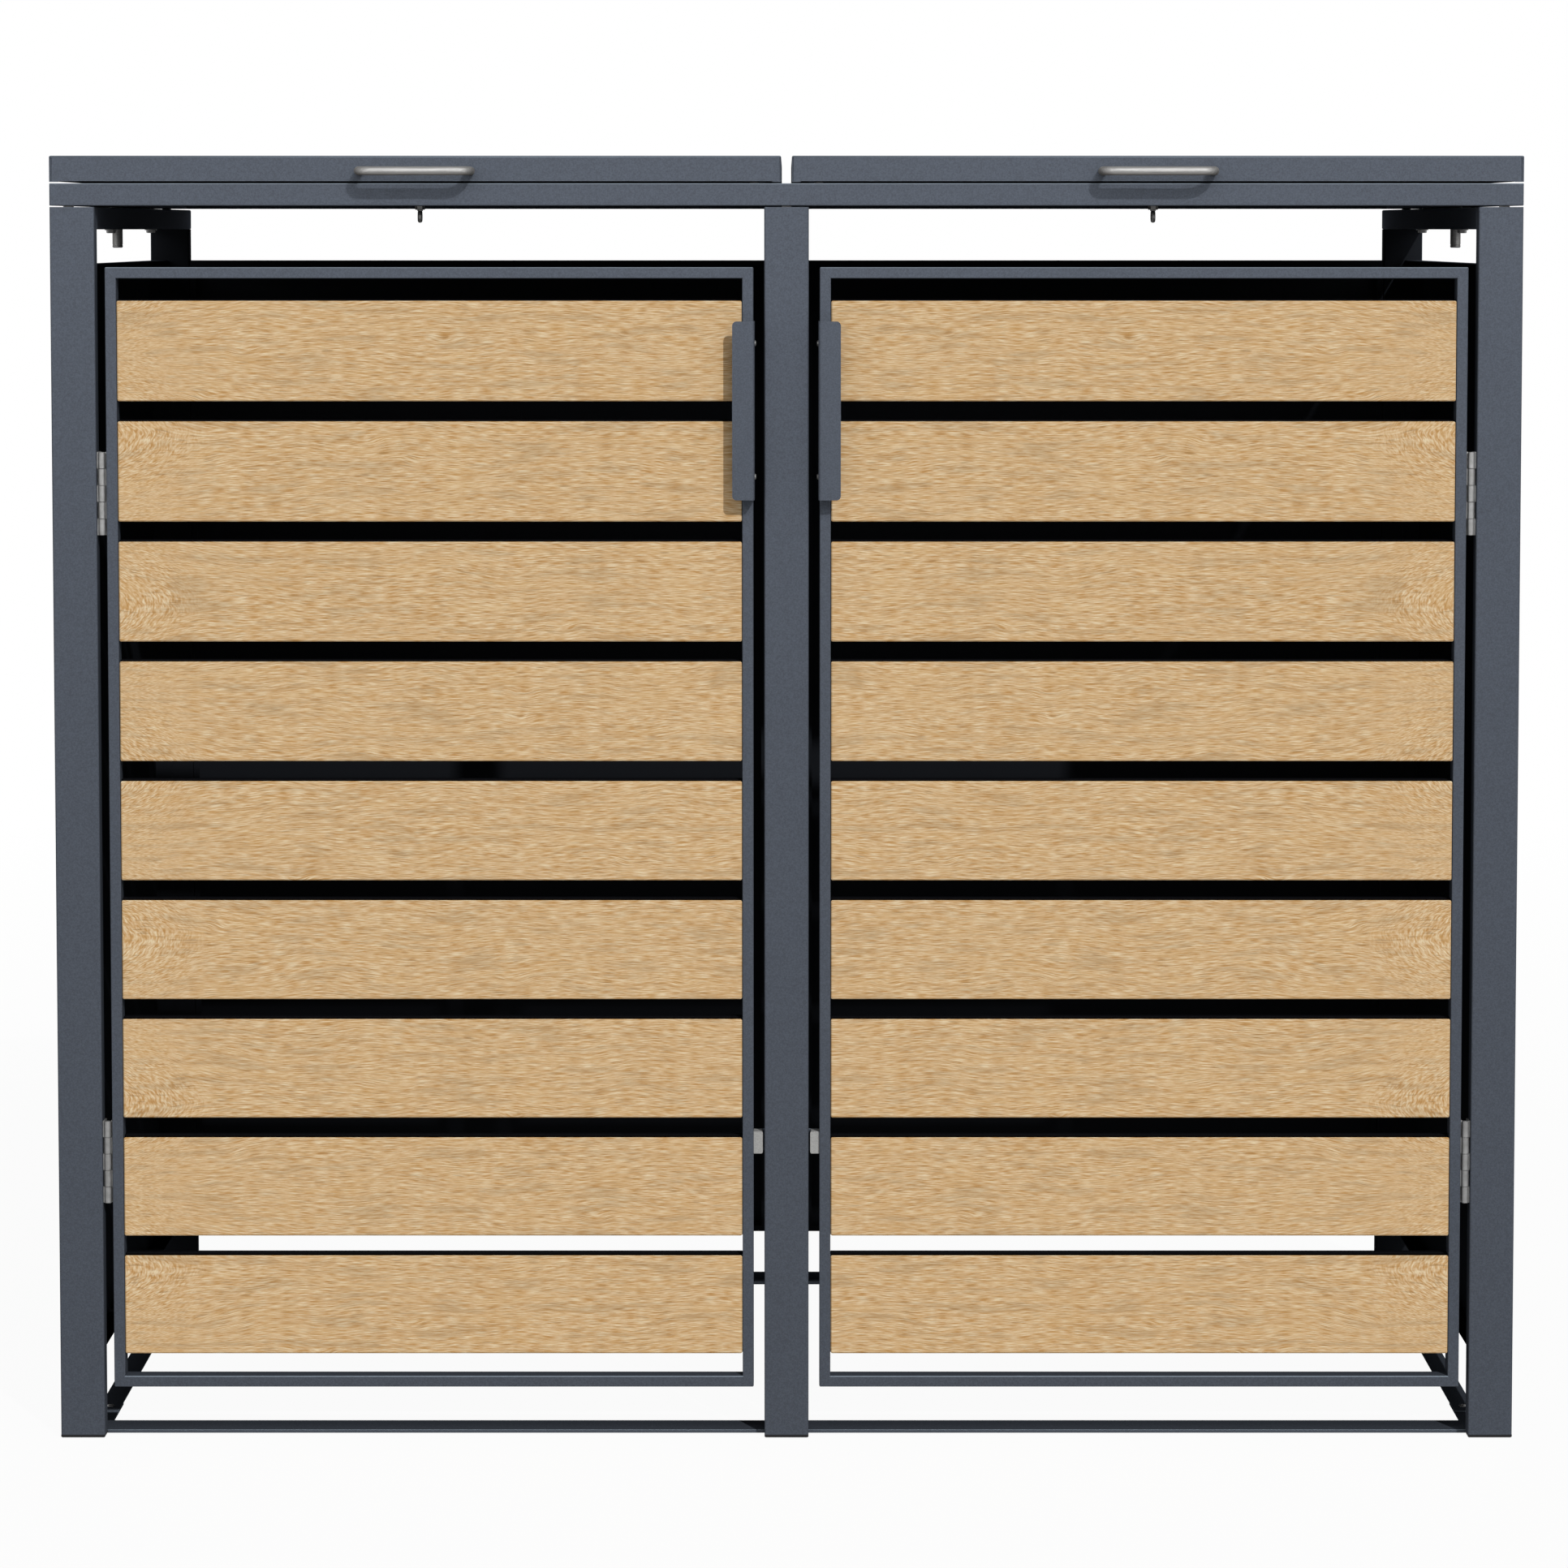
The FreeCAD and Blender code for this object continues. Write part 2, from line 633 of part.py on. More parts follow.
def make_brackets_and_eyes():
    """A hat bracket welded under the lid's skin, and an eye bolt held in it by two nuts, drawn
    as one piece with its nuts."""
    base = f"({BEAM_BASE} + bracket_clearance)"
    height = f"({LID_BASE} + lid_height - sheet - {base})"
    front = f"({FRONT} + beam_width + bracket_setback)"
    low = f"({height} - bracket_sheet)"
    bracket = body_at("left_lid_bracket", f"-{LID_MIDDLE} - bracket_width / 2", front, base)
    hat = [("0", "0"), ("bracket_width", "0"), ("bracket_width", low),
           ("bracket_width + bracket_flange", low), ("bracket_width + bracket_flange", height),
           ("bracket_width - bracket_sheet", height),
           ("bracket_width - bracket_sheet", "bracket_sheet"),
           ("bracket_sheet", "bracket_sheet"), ("bracket_sheet", height),
           ("-bracket_flange", height), ("-bracket_flange", low), ("0", low)]
    add(bracket, "XZ_Plane", [hat], "0", "bracket_length")
    cut(bracket, "XY_Plane", [("bracket_width / 2", "bracket_length / 2",
                               "eye_shank / 2 + hole_clearance")], "0", "bracket_sheet")
    pair(bracket)
    lower_nut = f"({base} - eye_nut_height)"
    ring_top = f"({lower_nut} - eye_neck)"
    ring_centre = f"({ring_top} - eye_outer / 2)"
    middle = f"({front} + bracket_length / 2)"
    eye = body_at("left_eye_bolt", f"-{LID_MIDDLE}", middle, ring_centre)
    add(eye, "YZ_Plane", [("0", "0", "eye_outer / 2"), ("0", "0", "eye_bore / 2")],
        "-eye_thickness / 2", "eye_thickness")
    shank_start = "(eye_bore / 4 + eye_outer / 4)"
    shank_end = f"({base} + bracket_sheet + 2 * eye_nut_height - {ring_centre})"
    add(eye, "XY_Plane", [regular(FEW_SIDES, "eye_shank / 2")], shank_start,
        f"{shank_end} - {shank_start}")
    nut = regular_about(6, "eye_nut / 2")
    for level in (lower_nut, f"({base} + bracket_sheet)"):
        add(eye, "XY_Plane", [nut], f"{level} - {ring_centre}", "eye_nut_height")
    pair(eye)


def make_dampers():
    """A drill-in damper through the side rail and the top frame, and its plunger."""
    x = f"-{HALF} + post_width / 2"
    y = f"{FRONT} + damper_place"
    foot = f"({RAIL_BASE} - damper_drop)"
    cylinder = body_at("damper", x, y, foot)
    reach = f"({BEAM_TOP} - {foot})"
    add(cylinder, "XY_Plane", [("0", "0", "damper_diameter / 2")], "0", reach)
    add(cylinder, "XY_Plane", [("0", "0", "damper_collar / 2")], reach, "damper_collar_height")
    tip = f"({LID_BASE} - running_gap)"
    depth = f"(plunger_length + plunger_room - ({tip} - {BEAM_TOP} - damper_collar_height))"
    cut(cylinder, "XY_Plane", [("0", "0", "plunger_diameter / 2 + pin_clearance")],
        f"{reach} + damper_collar_height - {depth}", depth)
    keep(group_both_sides("damper_cylinders", [cylinder]))
    plunger = body_at("left_plunger", x, y, f"{tip} - plunger_length")
    add(plunger, "XY_Plane", [("0", "0", "plunger_diameter / 2")], "0", "plunger_length")
    pair(plunger)


def make_bumpers():
    """Small pads on the top frame, under the inner front and outer rear corners of the lids."""
    pad = body_at("bumper", "0", "0", "0")
    add(pad, "XY_Plane", [regular(FEW_SIDES, "bumper_diameter / 2")], "0",
        "lid_gap - running_gap")
    inner = "(post_width / 2 + bumper_overhang)"
    outer = f"({HALF} - post_width / 2)"
    spots = []
    for side in (-1, 1):
        spots.append((f"{side} * {inner}", f"{FRONT} + bumper_setback"))
        spots.append((f"{side} * {outer}", f"{REAR} - beam_width + bumper_setback"))
    keep(group("lid_bumpers", [copy_at(pad, x, y, BEAM_TOP) for x, y in spots]))


# Doors

def door_tube(label, outside, inside):
    body = body_at(label, f"-{DOOR_OUTER}", FRONT, "door_base")
    add(body, "XZ_Plane", [outside], "0", "door_depth")
    cut(body, "XZ_Plane", [inside], "door_wall", "door_depth - 2 * door_wall")
    return body


def make_door_frames():
    """Four mitred tubes and a folded cross-bar behind each board, welded together."""
    face = "door_face"
    wall = "door_wall"
    near = f"({face} - {wall})"
    wide = DOOR_WIDTH
    high = DOOR_HEIGHT
    gap = "weld_gap"
    rail = [("0", "0"), (wide, "0"), (f"{wide} - {face}", face), (face, face)]
    rail_inside = [(wall, wall), (f"{wide} - {wall}", wall), (f"{wide} - {near}", near),
                   (near, near)]
    top = [(x, f"{high} - ({y})") for x, y in rail]
    top_inside = [(x, f"{high} - ({y})") for x, y in rail_inside]
    stile = [("0", gap), (face, f"{face} + {gap}"), (face, f"{high} - {face} - {gap}"),
             ("0", f"{high} - {gap}")]
    stile_inside = [(wall, f"{wall} + {gap}"), (near, f"{near} + {gap}"),
                    (near, f"{high} - {near} - {gap}"), (wall, f"{high} - {wall} - {gap}")]
    other = [(f"{wide} - ({x})", y) for x, y in stile]
    other_inside = [(f"{wide} - ({x})", y) for x, y in stile_inside]
    tubes = [door_tube("door_rail_lower", rail, rail_inside),
             door_tube("door_rail_upper", top, top_inside),
             door_tube("door_stile_outer", stile, stile_inside),
             door_tube("door_stile_inner", other, other_inside)]
    pair(group("left_door_frame", tubes + [make_crossbars()]))


def make_crossbars():
    """Channels of folded sheet, open to the rear, one behind each board."""
    bars = body_at("door_crossbars", f"-{DOOR_OUTER} + door_face + weld_gap", FRONT,
                   f"{LOWEST_BOARD} - crossbar_overlap")
    high = "(board_height + 2 * crossbar_overlap)"
    web = "(board_thickness + sheet)"
    channel = [("board_thickness", "0"), ("door_depth", "0"), ("door_depth", "sheet"),
               (web, "sheet"), (web, f"{high} - sheet"), ("door_depth", f"{high} - sheet"),
               ("door_depth", high), ("board_thickness", high)]
    bar = add(bars, "YZ_Plane", [channel], "0", f"{DOOR_WIDTH} - 2 * door_face - 2 * weld_gap")
    rows = bars.newObject("PartDesign::LinearPattern", "crossbar_rows")
    rows.Originals = [bar]
    axis = next(item for item in bars.Origin.OriginFeatures if item.Role == "Z_Axis")
    rows.Direction = (axis, [""])
    bind(rows, "Length", BOARD_SPAN)
    bind(rows, "Occurrences", "board_count")
    bars.Tip = rows
    doc.recompute()
    return bars


def make_boards():
    """The boards, counted from the top."""
    count = int(sheet.get("board_count"))
    span = f"({DOOR_WIDTH} - 2 * door_face - 2 * board_end_gap)"
    for number in range(1, count + 1):
        level = f"{LOWEST_BOARD} + {count - number} * {BOARD_PITCH}"
        board = body_at(f"left_board_{number}", f"-{DOOR_OUTER} + door_face + board_end_gap",
                        FRONT, level)
        add(board, "XZ_Plane", [box("0", "0", span, "board_height")], "0", "board_thickness")
        pair(board)


def make_grips():
    """A folded grip on the door's free edge: a side flange and a front flange."""
    body = body_at("left_door_handle", f"-{DOOR_INNER}", FRONT, GRIP_BASE)
    back = "(sheet - grip_reach)"
    profile = [("0", "grip_tail"), ("sheet", "grip_tail"), ("sheet", "-grip_reach"),
               ("sheet - grip_width", "-grip_reach"), ("sheet - grip_width", back), ("0", back)]
    add(body, "XY_Plane", [profile], "0", "grip_length")

    def outer_bend(edge, limits):
        return runs_along(edge, 2) and at_limit(edge, limits, 0, "high") \
            and at_limit(edge, limits, 1, "low")

    def flange_corner(edge, limits):
        return runs_along(edge, 1) and at_limit(edge, limits, 0, "low") \
            and at_limit(edge, limits, 2)

    dress(body, "Fillet", "grip_bend", edges_of(body, outer_bend))
    dress(body, "Fillet", "grip_corner", edges_of(body, flange_corner))
    pair(body)


def make_catches():
    """A catch block on the door's free edge, which closes against the keeper plate."""
    body = body_at("left_catch", f"-{DOOR_INNER}", f"{FRONT} + catch_setback", "catch_base")
    add(body, "XZ_Plane", [box("0", "0", "catch_width", "catch_height")], "0",
        "post_depth - catch_setback - running_gap")

    def free_corner(edge, limits):
        return runs_along(edge, 1) and at_limit(edge, limits, 0, "high")

    dress(body, "Fillet", "catch_corner", edges_of(body, free_corner))
    pair(body)


# Butt hinges, drawn round their pin axis and lengthened along it

def hinge_leaf(label, plane, spot, plate, tab, count, first):
    """One leaf of a butt hinge. Its plate and its knuckles' tab are boxes across the axis, and
    its knuckles are every other one of the count, from knuckle number first. They are drawn with
    a few sides, within the round knuckle and outside the round bore."""
    leaf = body_at(label, *spot)
    add(leaf, plane, [box(*plate)], "0", "hinge_length")
    step = f"(hinge_length / {count})"
    length = f"({step} - knuckle_play)"
    for number in range(first, int(sheet.get(count)), 2):
        start = f"({number} * {step} + knuckle_play / 2)"
        add(leaf, plane, [regular(FEW_SIDES, KNUCKLE)], start, length)
        add(leaf, plane, [box(*tab)], start, length)
    cut(leaf, plane, [regular_about(FEW_SIDES, "pin_diameter / 2")], "0", "hinge_length")
    return leaf


def door_hinge_leaves():
    """The fixed and the moving leaf of a door hinge, closed, standing up the pin."""
    side = "(hinge_gap / 2)"
    near = f"({side} - leaf_thickness)"
    clear = f"({KNUCKLE} + running_gap)"
    spot = (f"-{DOOR_AXIS_X}", DOOR_AXIS_Y, "0")
    fixed = hinge_leaf("door_leaf_fixed", "XY_Plane", spot,
                       (f"-{side}", clear, f"-{near}", "leaf_width"),
                       (f"-{side}", "0", f"-{near}", clear), "door_knuckle_count", 0)
    moving = hinge_leaf("door_leaf_moving", "XY_Plane", spot,
                        (near, clear, side, "leaf_width"), (near, "0", side, clear),
                        "door_knuckle_count", 1)
    return fixed, moving


def lid_hinge_leaves():
    """The leaves of a lid hinge, laid open along the rear face, with the pin across."""
    near = f"({KNUCKLE} - leaf_thickness)"
    clear = f"({KNUCKLE} + running_gap)"
    spot = ("0", LID_AXIS_Y, LID_AXIS_Z)
    fixed = hinge_leaf("lid_leaf_fixed", "YZ_Plane", spot,
                       (f"-{KNUCKLE}", "-leaf_width", f"-{near}", f"-{clear}"),
                       (f"-{KNUCKLE}", f"-{clear}", f"-{near}", "0"), "lid_knuckle_count", 0)
    moving = hinge_leaf("lid_leaf_moving", "YZ_Plane", spot,
                        (f"-{KNUCKLE}", clear, f"-{near}", "leaf_width"),
                        (f"-{KNUCKLE}", "0", f"-{near}", clear), "lid_knuckle_count", 1)
    return fixed, moving


def make_hinges():
    """Two hinges to each door and two to each lid, with their pins."""
    door_fixed, door_moving = door_hinge_leaves()
    lid_fixed, lid_moving = lid_hinge_leaves()
    levels = ["door_base + lower_hinge_inset", f"{DOOR_TOP} - upper_hinge_inset - hinge_length"]
    starts = [f"-{HALF} + lid_hinge_inset",
              "-lid_split / 2 - lid_hinge_inset - hinge_length"]
    door_x = f"-{DOOR_AXIS_X}"
    fixed = [copy_at(door_fixed, door_x, DOOR_AXIS_Y, level) for level in levels]
    fixed += [copy_at(lid_fixed, start, LID_AXIS_Y, LID_AXIS_Z) for start in starts]
    keep(group_both_sides("fixed_hinge_leaves", fixed))
    swinging = [copy_at(door_moving, door_x, DOOR_AXIS_Y, level) for level in levels]
    pair(group("left_door_leaves", swinging))
    lifting = [copy_at(lid_moving, start, LID_AXIS_Y, LID_AXIS_Z) for start in starts]
    pair(group("left_lid_leaves", lifting))
    pin = body_at("hinge_pin", "0", "0", "0")
    add(pin, "XY_Plane", [("0", "0", "pin_diameter / 2 - pin_clearance")], "0", "hinge_length")
    pins = [copy_at(pin, door_x, DOOR_AXIS_Y, level) for level in levels]
    pins += [copy_at(pin, start, LID_AXIS_Y, LID_AXIS_Z, ALONG_X) for start in starts]
    keep(group_both_sides("hinge_pins", pins))


make_posts()
make_rails()
make_top_frame()
make_spacers()
make_feet()
make_floor_bars()
make_side_panels()
make_rear_panels()
make_lids()
make_bow_handles()
make_brackets_and_eyes()
make_dampers()
make_bumpers()
make_door_frames()
make_boards()
make_grips()
make_catches()
make_hinges()
doc.recompute()

for item in doc.Objects:
    if "Invalid" in item.State or "Error" in item.State:
        raise RuntimeError(f"{item.Label} failed: {item.State}")
for node in NODES:
    if node.Shape.isNull() or not node.Shape.isValid() or not node.Shape.Solids:
        raise RuntimeError(f"{node.Label} has no valid solid")

os.makedirs("parts", exist_ok=True)
for node in NODES:
    node.Shape.exportStep(f"parts/{node.Label}.step")
print(f"{len(NODES)} nodes, {sum(len(node.Shape.Solids) for node in NODES)} solids")
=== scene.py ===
"""Looks of the wheelie bin store.

Panels, grips, brackets, catches, spacers, hinge pins and feet come from the frame as they are and
only get their finish here. The tubes, the welded frames and the folded lids are drawn again with
their rounded corners. Boards, bows, hinge leaves, eye bolts, dampers, bumpers, screws and bolts
are drawn in the detail that the real ones have, in the places that the frame gives them.
"""

import json
import math

import bmesh
import bpy
from mathutils import Matrix, Vector


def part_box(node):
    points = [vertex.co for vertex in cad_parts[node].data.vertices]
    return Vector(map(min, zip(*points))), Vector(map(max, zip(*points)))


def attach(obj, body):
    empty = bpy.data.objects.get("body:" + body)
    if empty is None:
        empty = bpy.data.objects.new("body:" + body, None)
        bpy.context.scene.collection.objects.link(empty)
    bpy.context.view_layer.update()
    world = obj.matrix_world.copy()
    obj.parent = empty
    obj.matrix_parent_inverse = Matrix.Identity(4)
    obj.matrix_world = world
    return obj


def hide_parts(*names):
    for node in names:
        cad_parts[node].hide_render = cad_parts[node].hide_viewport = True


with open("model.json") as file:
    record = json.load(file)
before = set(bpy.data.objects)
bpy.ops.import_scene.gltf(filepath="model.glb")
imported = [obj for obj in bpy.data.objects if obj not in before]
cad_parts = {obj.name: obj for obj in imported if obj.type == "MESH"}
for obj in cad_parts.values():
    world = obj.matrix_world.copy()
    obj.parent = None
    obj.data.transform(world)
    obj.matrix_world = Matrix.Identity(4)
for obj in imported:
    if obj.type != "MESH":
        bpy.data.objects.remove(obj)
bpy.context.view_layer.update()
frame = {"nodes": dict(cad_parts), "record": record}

# All sizes are in metres. X is counted from the middle of the store, Y backwards and Z upwards.

MM = 0.001
SIDES = (("left", -1), ("right", 1))

# Places in the frame

FRONT = -0.3866                     # front faces of the posts, boards and lids
REAR = 0.4134                       # rear faces of the posts
POST_WIDTH = 0.04
POST_DEPTH = 0.02
CATCH_FOOT = 0.2606
CATCH_TOP = 0.2806
LID_MIDDLE = 0.3324                 # bows and eye bolts, to each side of the middle
RAIL_LINE = 0.64                    # middle of the outer rails, with dampers, bolts and bumpers
DAMPER_BACK = 0.336                 # behind the front
RAIL_BOLTS_BACK = (0.286, 0.610)    # behind the front
GRIP_FLANK = 0.0286                 # the side of a grip that carries its screws
GRIP_SCREWS = (0.8746, 0.9946)      # their heights
MIDDLE_HEIGHT = 0.58                # of the whole store

# Boards and their print

LOWEST_BOARD = 77.6 * MM            # its lower edge
BOARD_PITCH = 108.15 * MM
BOARD_END = 600.7 * MM              # at the hinges, from the middle of the store
BOARD_COUNT = 9
PRINT_STEP = 1.37                   # from one row's stretch of the print to the next one's
FLAME_PITCH = 151.0 * MM
LOWEST_FLAME = 155.0 * MM           # middle line of the lowest flame
FLAME_REACH = 95.0 * MM             # from the hinge end of the board

# What all meshes share

SAME_SPOT = 1e-6                    # points nearer than this are one
LATHE_STEPS = 32


# Colours and nodes

def colour(code):
    """An sRGB hex value as linear red, green, blue and alpha."""
    parts = [int(code[index:index + 2], 16) / 255 for index in (1, 3, 5)]
    return [part / 12.92 if part <= 0.04045 else ((part + 0.055) / 1.055) ** 2.4
            for part in parts] + [1.0]


def add_node(tree, kind, sockets=None, stops=(), **settings):
    """Add a node with its settings. Each socket gets a value, or the output that feeds it, and a
    node given there stands for its first output in use. Stops are the places and colours of a
    ramp. A Mix node of colours takes its factor at 0 and its two colours at 6 and 7, and a Map
    Range node its value at 0, what it comes from at 1 and 2, and what it becomes at 3 and 4."""
    made = tree.nodes.new(kind)
    for name, value in settings.items():
        setattr(made, name, value)
    for key, value in (sockets or {}).items():
        if isinstance(value, bpy.types.Node):
            value = next(output for output in value.outputs if output.enabled)
        if isinstance(value, bpy.types.NodeSocket):
            tree.links.new(value, made.inputs[key])
        else:
            made.inputs[key].default_value = value
    if stops:
        elements = made.color_ramp.elements
        while len(elements) < len(stops):
            elements.new(0.5)
        for element, (spot, code) in zip(elements, stops):
            element.position = spot
            element.color = colour(code)
    return made


def new_material(name):
    """An empty material, its tree, and where a pattern starts: the object's own coordinates and
    its own normal, which both turn with the piece."""
    material = bpy.data.materials.new(name)
    material.use_nodes = True
    tree = material.node_tree
    tree.nodes.clear()
    own = add_node(tree, "ShaderNodeTexCoord").outputs
    return material, tree, own["Object"], own["Normal"]


def coat_with(tree, relief, depth_mm, strength, sockets):
    """The Principled surface of a material with its relief, and its output."""
    raised = add_node(tree, "ShaderNodeBump", {"Height": relief, "Strength": strength,
                                               "Distance": depth_mm * MM})
    surface = add_node(tree, "ShaderNodeBsdfPrincipled", {**sockets, "Normal": raised})
    add_node(tree, "ShaderNodeOutputMaterial", {"Surface": surface})


def per_metre(size_mm):
    """The scale of a pattern whose blobs are about this many millimetres."""
    return 1000.0 / size_mm


# Materials

def fine_texture_powder_coat(name="fine_texture_powder_coat", inside=None):
    """Anthracite polyester powder, baked on steel: a fine orange-peel grit, which gives a dull
    sheen and a faint speckle. Its grains are drawn at 1.3 mm, since smaller ones don't show. Upper
    bends get a paler colour as a painted highlight, and where an inside colour is given, faces
    that look inwards get it as painted shade."""
    material, tree, place, normal = new_material(name)
    grit = add_node(tree, "ShaderNodeTexNoise",
                    {"Vector": place, "Scale": per_metre(1.3), "Detail": 3.0})
    cloud = add_node(tree, "ShaderNodeTexNoise",
                     {"Vector": place, "Scale": per_metre(90.0), "Detail": 2.0})
    speckle = add_node(tree, "ShaderNodeValToRGB", {"Fac": grit},
                       [(0.34, "#464A52"), (0.5, "#4B5059"), (0.66, "#50565F")])
    drift = add_node(tree, "ShaderNodeValToRGB", {"Fac": cloud},
                     [(0.3, "#444950"), (0.7, "#50565F")])
    coat = add_node(tree, "ShaderNodeMix", {0: 0.08, 6: speckle, 7: drift}, data_type="RGBA")

    # Painted highlight: faces that slope upwards, on the upper bends, get a paler colour; flat
    # tops don't
    upward = add_node(tree, "ShaderNodeSeparateXYZ", {"Vector": normal}).outputs["Z"]
    slopes = add_node(tree, "ShaderNodeMapRange", {0: upward, 1: 0.2, 2: 0.35, 3: 0.0, 4: 0.8})
    no_tops = add_node(tree, "ShaderNodeMapRange", {0: upward, 1: 0.94, 2: 0.99, 3: 1.0, 4: 0.0})
    fold_highlight = add_node(tree, "ShaderNodeMath", {0: slopes, 1: no_tops}, operation="MULTIPLY")
    coat = add_node(tree, "ShaderNodeMix", {0: fold_highlight, 6: coat, 7: colour("#78828C")},
                    data_type="RGBA")
    # Painted shade: faces that look inwards, towards the middle of the store, get the dark inside
    # colour
    if inside is not None:
        heart = add_node(tree, "ShaderNodeVectorMath", {0: place, 1: (0, 0, MIDDLE_HEIGHT)},
                         operation="SUBTRACT")
        outwards = add_node(tree, "ShaderNodeVectorMath", {0: heart, 1: normal},
                            operation="DOT_PRODUCT")
        inwards = add_node(tree, "ShaderNodeMath", {0: outwards, 1: 0.0}, operation="LESS_THAN")
        coat = add_node(tree, "ShaderNodeMix", {0: inwards, 6: coat, 7: colour(inside)},
                        data_type="RGBA")
    coat_with(tree, grit, 0.03, 0.3,
              {"Base Color": coat, "Metallic": 0.2, "Roughness": 0.55, "Specular IOR Level": 0.0,
               "Specular Tint": (0.12, 0.12, 0.14, 1)})
    return material


def oak_decor_board():
    """Compact laminate with a pale oak print: matt, with short wavy fibres along the board, grey
    bands, a few small knots and a flame figure at the hinge end. Its cut edges show the black
    core. Fibres are drawn 0.6 mm wide, since the real ones are too fine to show."""
    material, tree, place, normal = new_material("oak_decor_laminate")

    # Each row of boards shows another stretch of the print, and the two doors mirror each other
    split = add_node(tree, "ShaderNodeSeparateXYZ", {"Vector": place}).outputs
    across = add_node(tree, "ShaderNodeMath", {0: split["X"]}, operation="ABSOLUTE")
    row = add_node(tree, "ShaderNodeMath", {0: split["Z"], 1: LOWEST_BOARD}, operation="SUBTRACT")
    row = add_node(tree, "ShaderNodeMath", {0: row, 1: BOARD_PITCH}, operation="DIVIDE")
    row = add_node(tree, "ShaderNodeMath", {0: row}, operation="FLOOR")
    along = add_node(tree, "ShaderNodeMath", {0: row, 1: PRINT_STEP, 2: across},
                     operation="MULTIPLY_ADD")
    spot = add_node(tree, "ShaderNodeCombineXYZ", {"X": along, "Y": split["Z"]})

    # What bends the fibres: two waves, each with its size in mm and its stretch, and the knots
    waves = []
    for size_mm, stretch in ((45.0, 0.4), (12.0, 0.3)):
        drawn_out = add_node(tree, "ShaderNodeMapping", {"Vector": spot, "Scale": (stretch, 1, 1)})
        waves.append(add_node(tree, "ShaderNodeTexNoise",
                              {"Vector": drawn_out, "Scale": per_metre(size_mm), "Detail": 1.0},
                              noise_dimensions="2D"))
    sway, ripple = waves
    cells = add_node(tree, "ShaderNodeMapping", {"Vector": spot, "Scale": (0.45, 1, 1)})
    knot = add_node(tree, "ShaderNodeTexVoronoi", {"Vector": cells, "Scale": per_metre(95.0)},
                    voronoi_dimensions="2D")
    knot = add_node(tree, "ShaderNodeMapRange", {0: knot, 1: 0.0, 2: 0.1, 3: 1.0, 4: 0.0},
                    interpolation_type="SMOOTHSTEP")

    # Towards a flame the fibres fan out from its middle line
    inward = add_node(tree, "ShaderNodeMath", {0: BOARD_END, 1: across}, operation="SUBTRACT")
    tile = add_node(tree, "ShaderNodeMath", {0: split["Z"], 1: LOWEST_FLAME},
                    operation="SUBTRACT")
    tile = add_node(tree, "ShaderNodeMath", {0: tile, 1: FLAME_PITCH / 2, 2: -FLAME_PITCH / 2},
                    operation="WRAP")
    fan = add_node(tree, "ShaderNodeMath", {0: tile, 1: 2 * math.pi / FLAME_PITCH},
                   operation="MULTIPLY")
    fan = add_node(tree, "ShaderNodeMath", {0: fan}, operation="SINE")
    spread = add_node(tree, "ShaderNodeMapRange",
                      {0: inward, 1: 0.0, 2: 1.8 * FLAME_REACH,
                       3: 0.5 * FLAME_PITCH / (2 * math.pi), 4: 0.0},
                      interpolation_type="SMOOTHSTEP")
    fan = add_node(tree, "ShaderNodeMath", {0: fan, 1: spread}, operation="MULTIPLY")
    level = add_node(tree, "ShaderNodeMath", {0: split["Z"], 1: fan}, operation="SUBTRACT")
    for bend, depth_mm in ((sway, 12.0), (ripple, 1.1), (knot, 3.0)):
        level = add_node(tree, "ShaderNodeMath", {0: bend, 1: depth_mm * MM, 2: level},
                         operation="MULTIPLY_ADD")
    straight = add_node(tree, "ShaderNodeCombineXYZ", {"X": along, "Y": level})

    # In the flame they run in arches
    arch = add_node(tree, "ShaderNodeMath", {0: tile, 1: tile}, operation="MULTIPLY")
    arch = add_node(tree, "ShaderNodeMath", {0: arch, 1: 60.0 * MM}, operation="DIVIDE")
    for bend, amount in ((inward, 0.38), (ripple, 3.0 * MM), (sway, 5.0 * MM)):
        arch = add_node(tree, "ShaderNodeMath", {0: bend, 1: amount, 2: arch},
                        operation="MULTIPLY_ADD")
    arched = add_node(tree, "ShaderNodeCombineXYZ", {"X": inward, "Y": tile, "Z": arch})
    aside = add_node(tree, "ShaderNodeMath", {0: tile}, operation="ABSOLUTE")
    reach = add_node(tree, "ShaderNodeMath", {0: sway, 1: -40.0 * MM, 2: inward},
                     operation="MULTIPLY_ADD")
    reach = add_node(tree, "ShaderNodeMath", {0: aside, 1: 0.25, 2: reach},
                     operation="MULTIPLY_ADD")
    flame = add_node(tree, "ShaderNodeMapRange",
                     {0: reach, 1: 0.1 * FLAME_REACH, 2: 0.8 * FLAME_REACH, 3: 0.9, 4: 0.0},
                     interpolation_type="SMOOTHSTEP")

    # The layers of the print, each with its size in mm, its detail and its stretch
    layers = {}
    for layer, start, size_mm, detail, stretch, flat in (
            ("fibres", straight, 0.62, 3.0, (0.05, 1, 1), "2D"),
            ("arches", arched, 0.75, 1.0, (0.16, 0.16, 1), "3D"),
            ("pores", straight, 0.9, 1.0, (0.045, 1, 1), "2D"),
            ("streaks", straight, 2.4, 3.0, (0.04, 1, 1), "2D"),
            ("bands", straight, 10.0, 2.0, (0.14, 1, 1), "2D")):
        drawn_out = add_node(tree, "ShaderNodeMapping", {"Vector": start, "Scale": stretch})
        layers[layer] = add_node(
            tree, "ShaderNodeTexNoise",
            {"Vector": drawn_out, "Scale": per_metre(size_mm), "Detail": detail},
            noise_dimensions=flat)
    fibres = add_node(tree, "ShaderNodeMix", {0: flame, 2: layers["fibres"], 3: layers["arches"]})
    face = add_node(tree, "ShaderNodeValToRGB", {"Fac": fibres},
                    [(0.28, "#BA8B54"), (0.42, "#CBA471"), (0.50, "#D6B48A"),
                     (0.60, "#DEC59E"), (0.72, "#EAD7B4")])

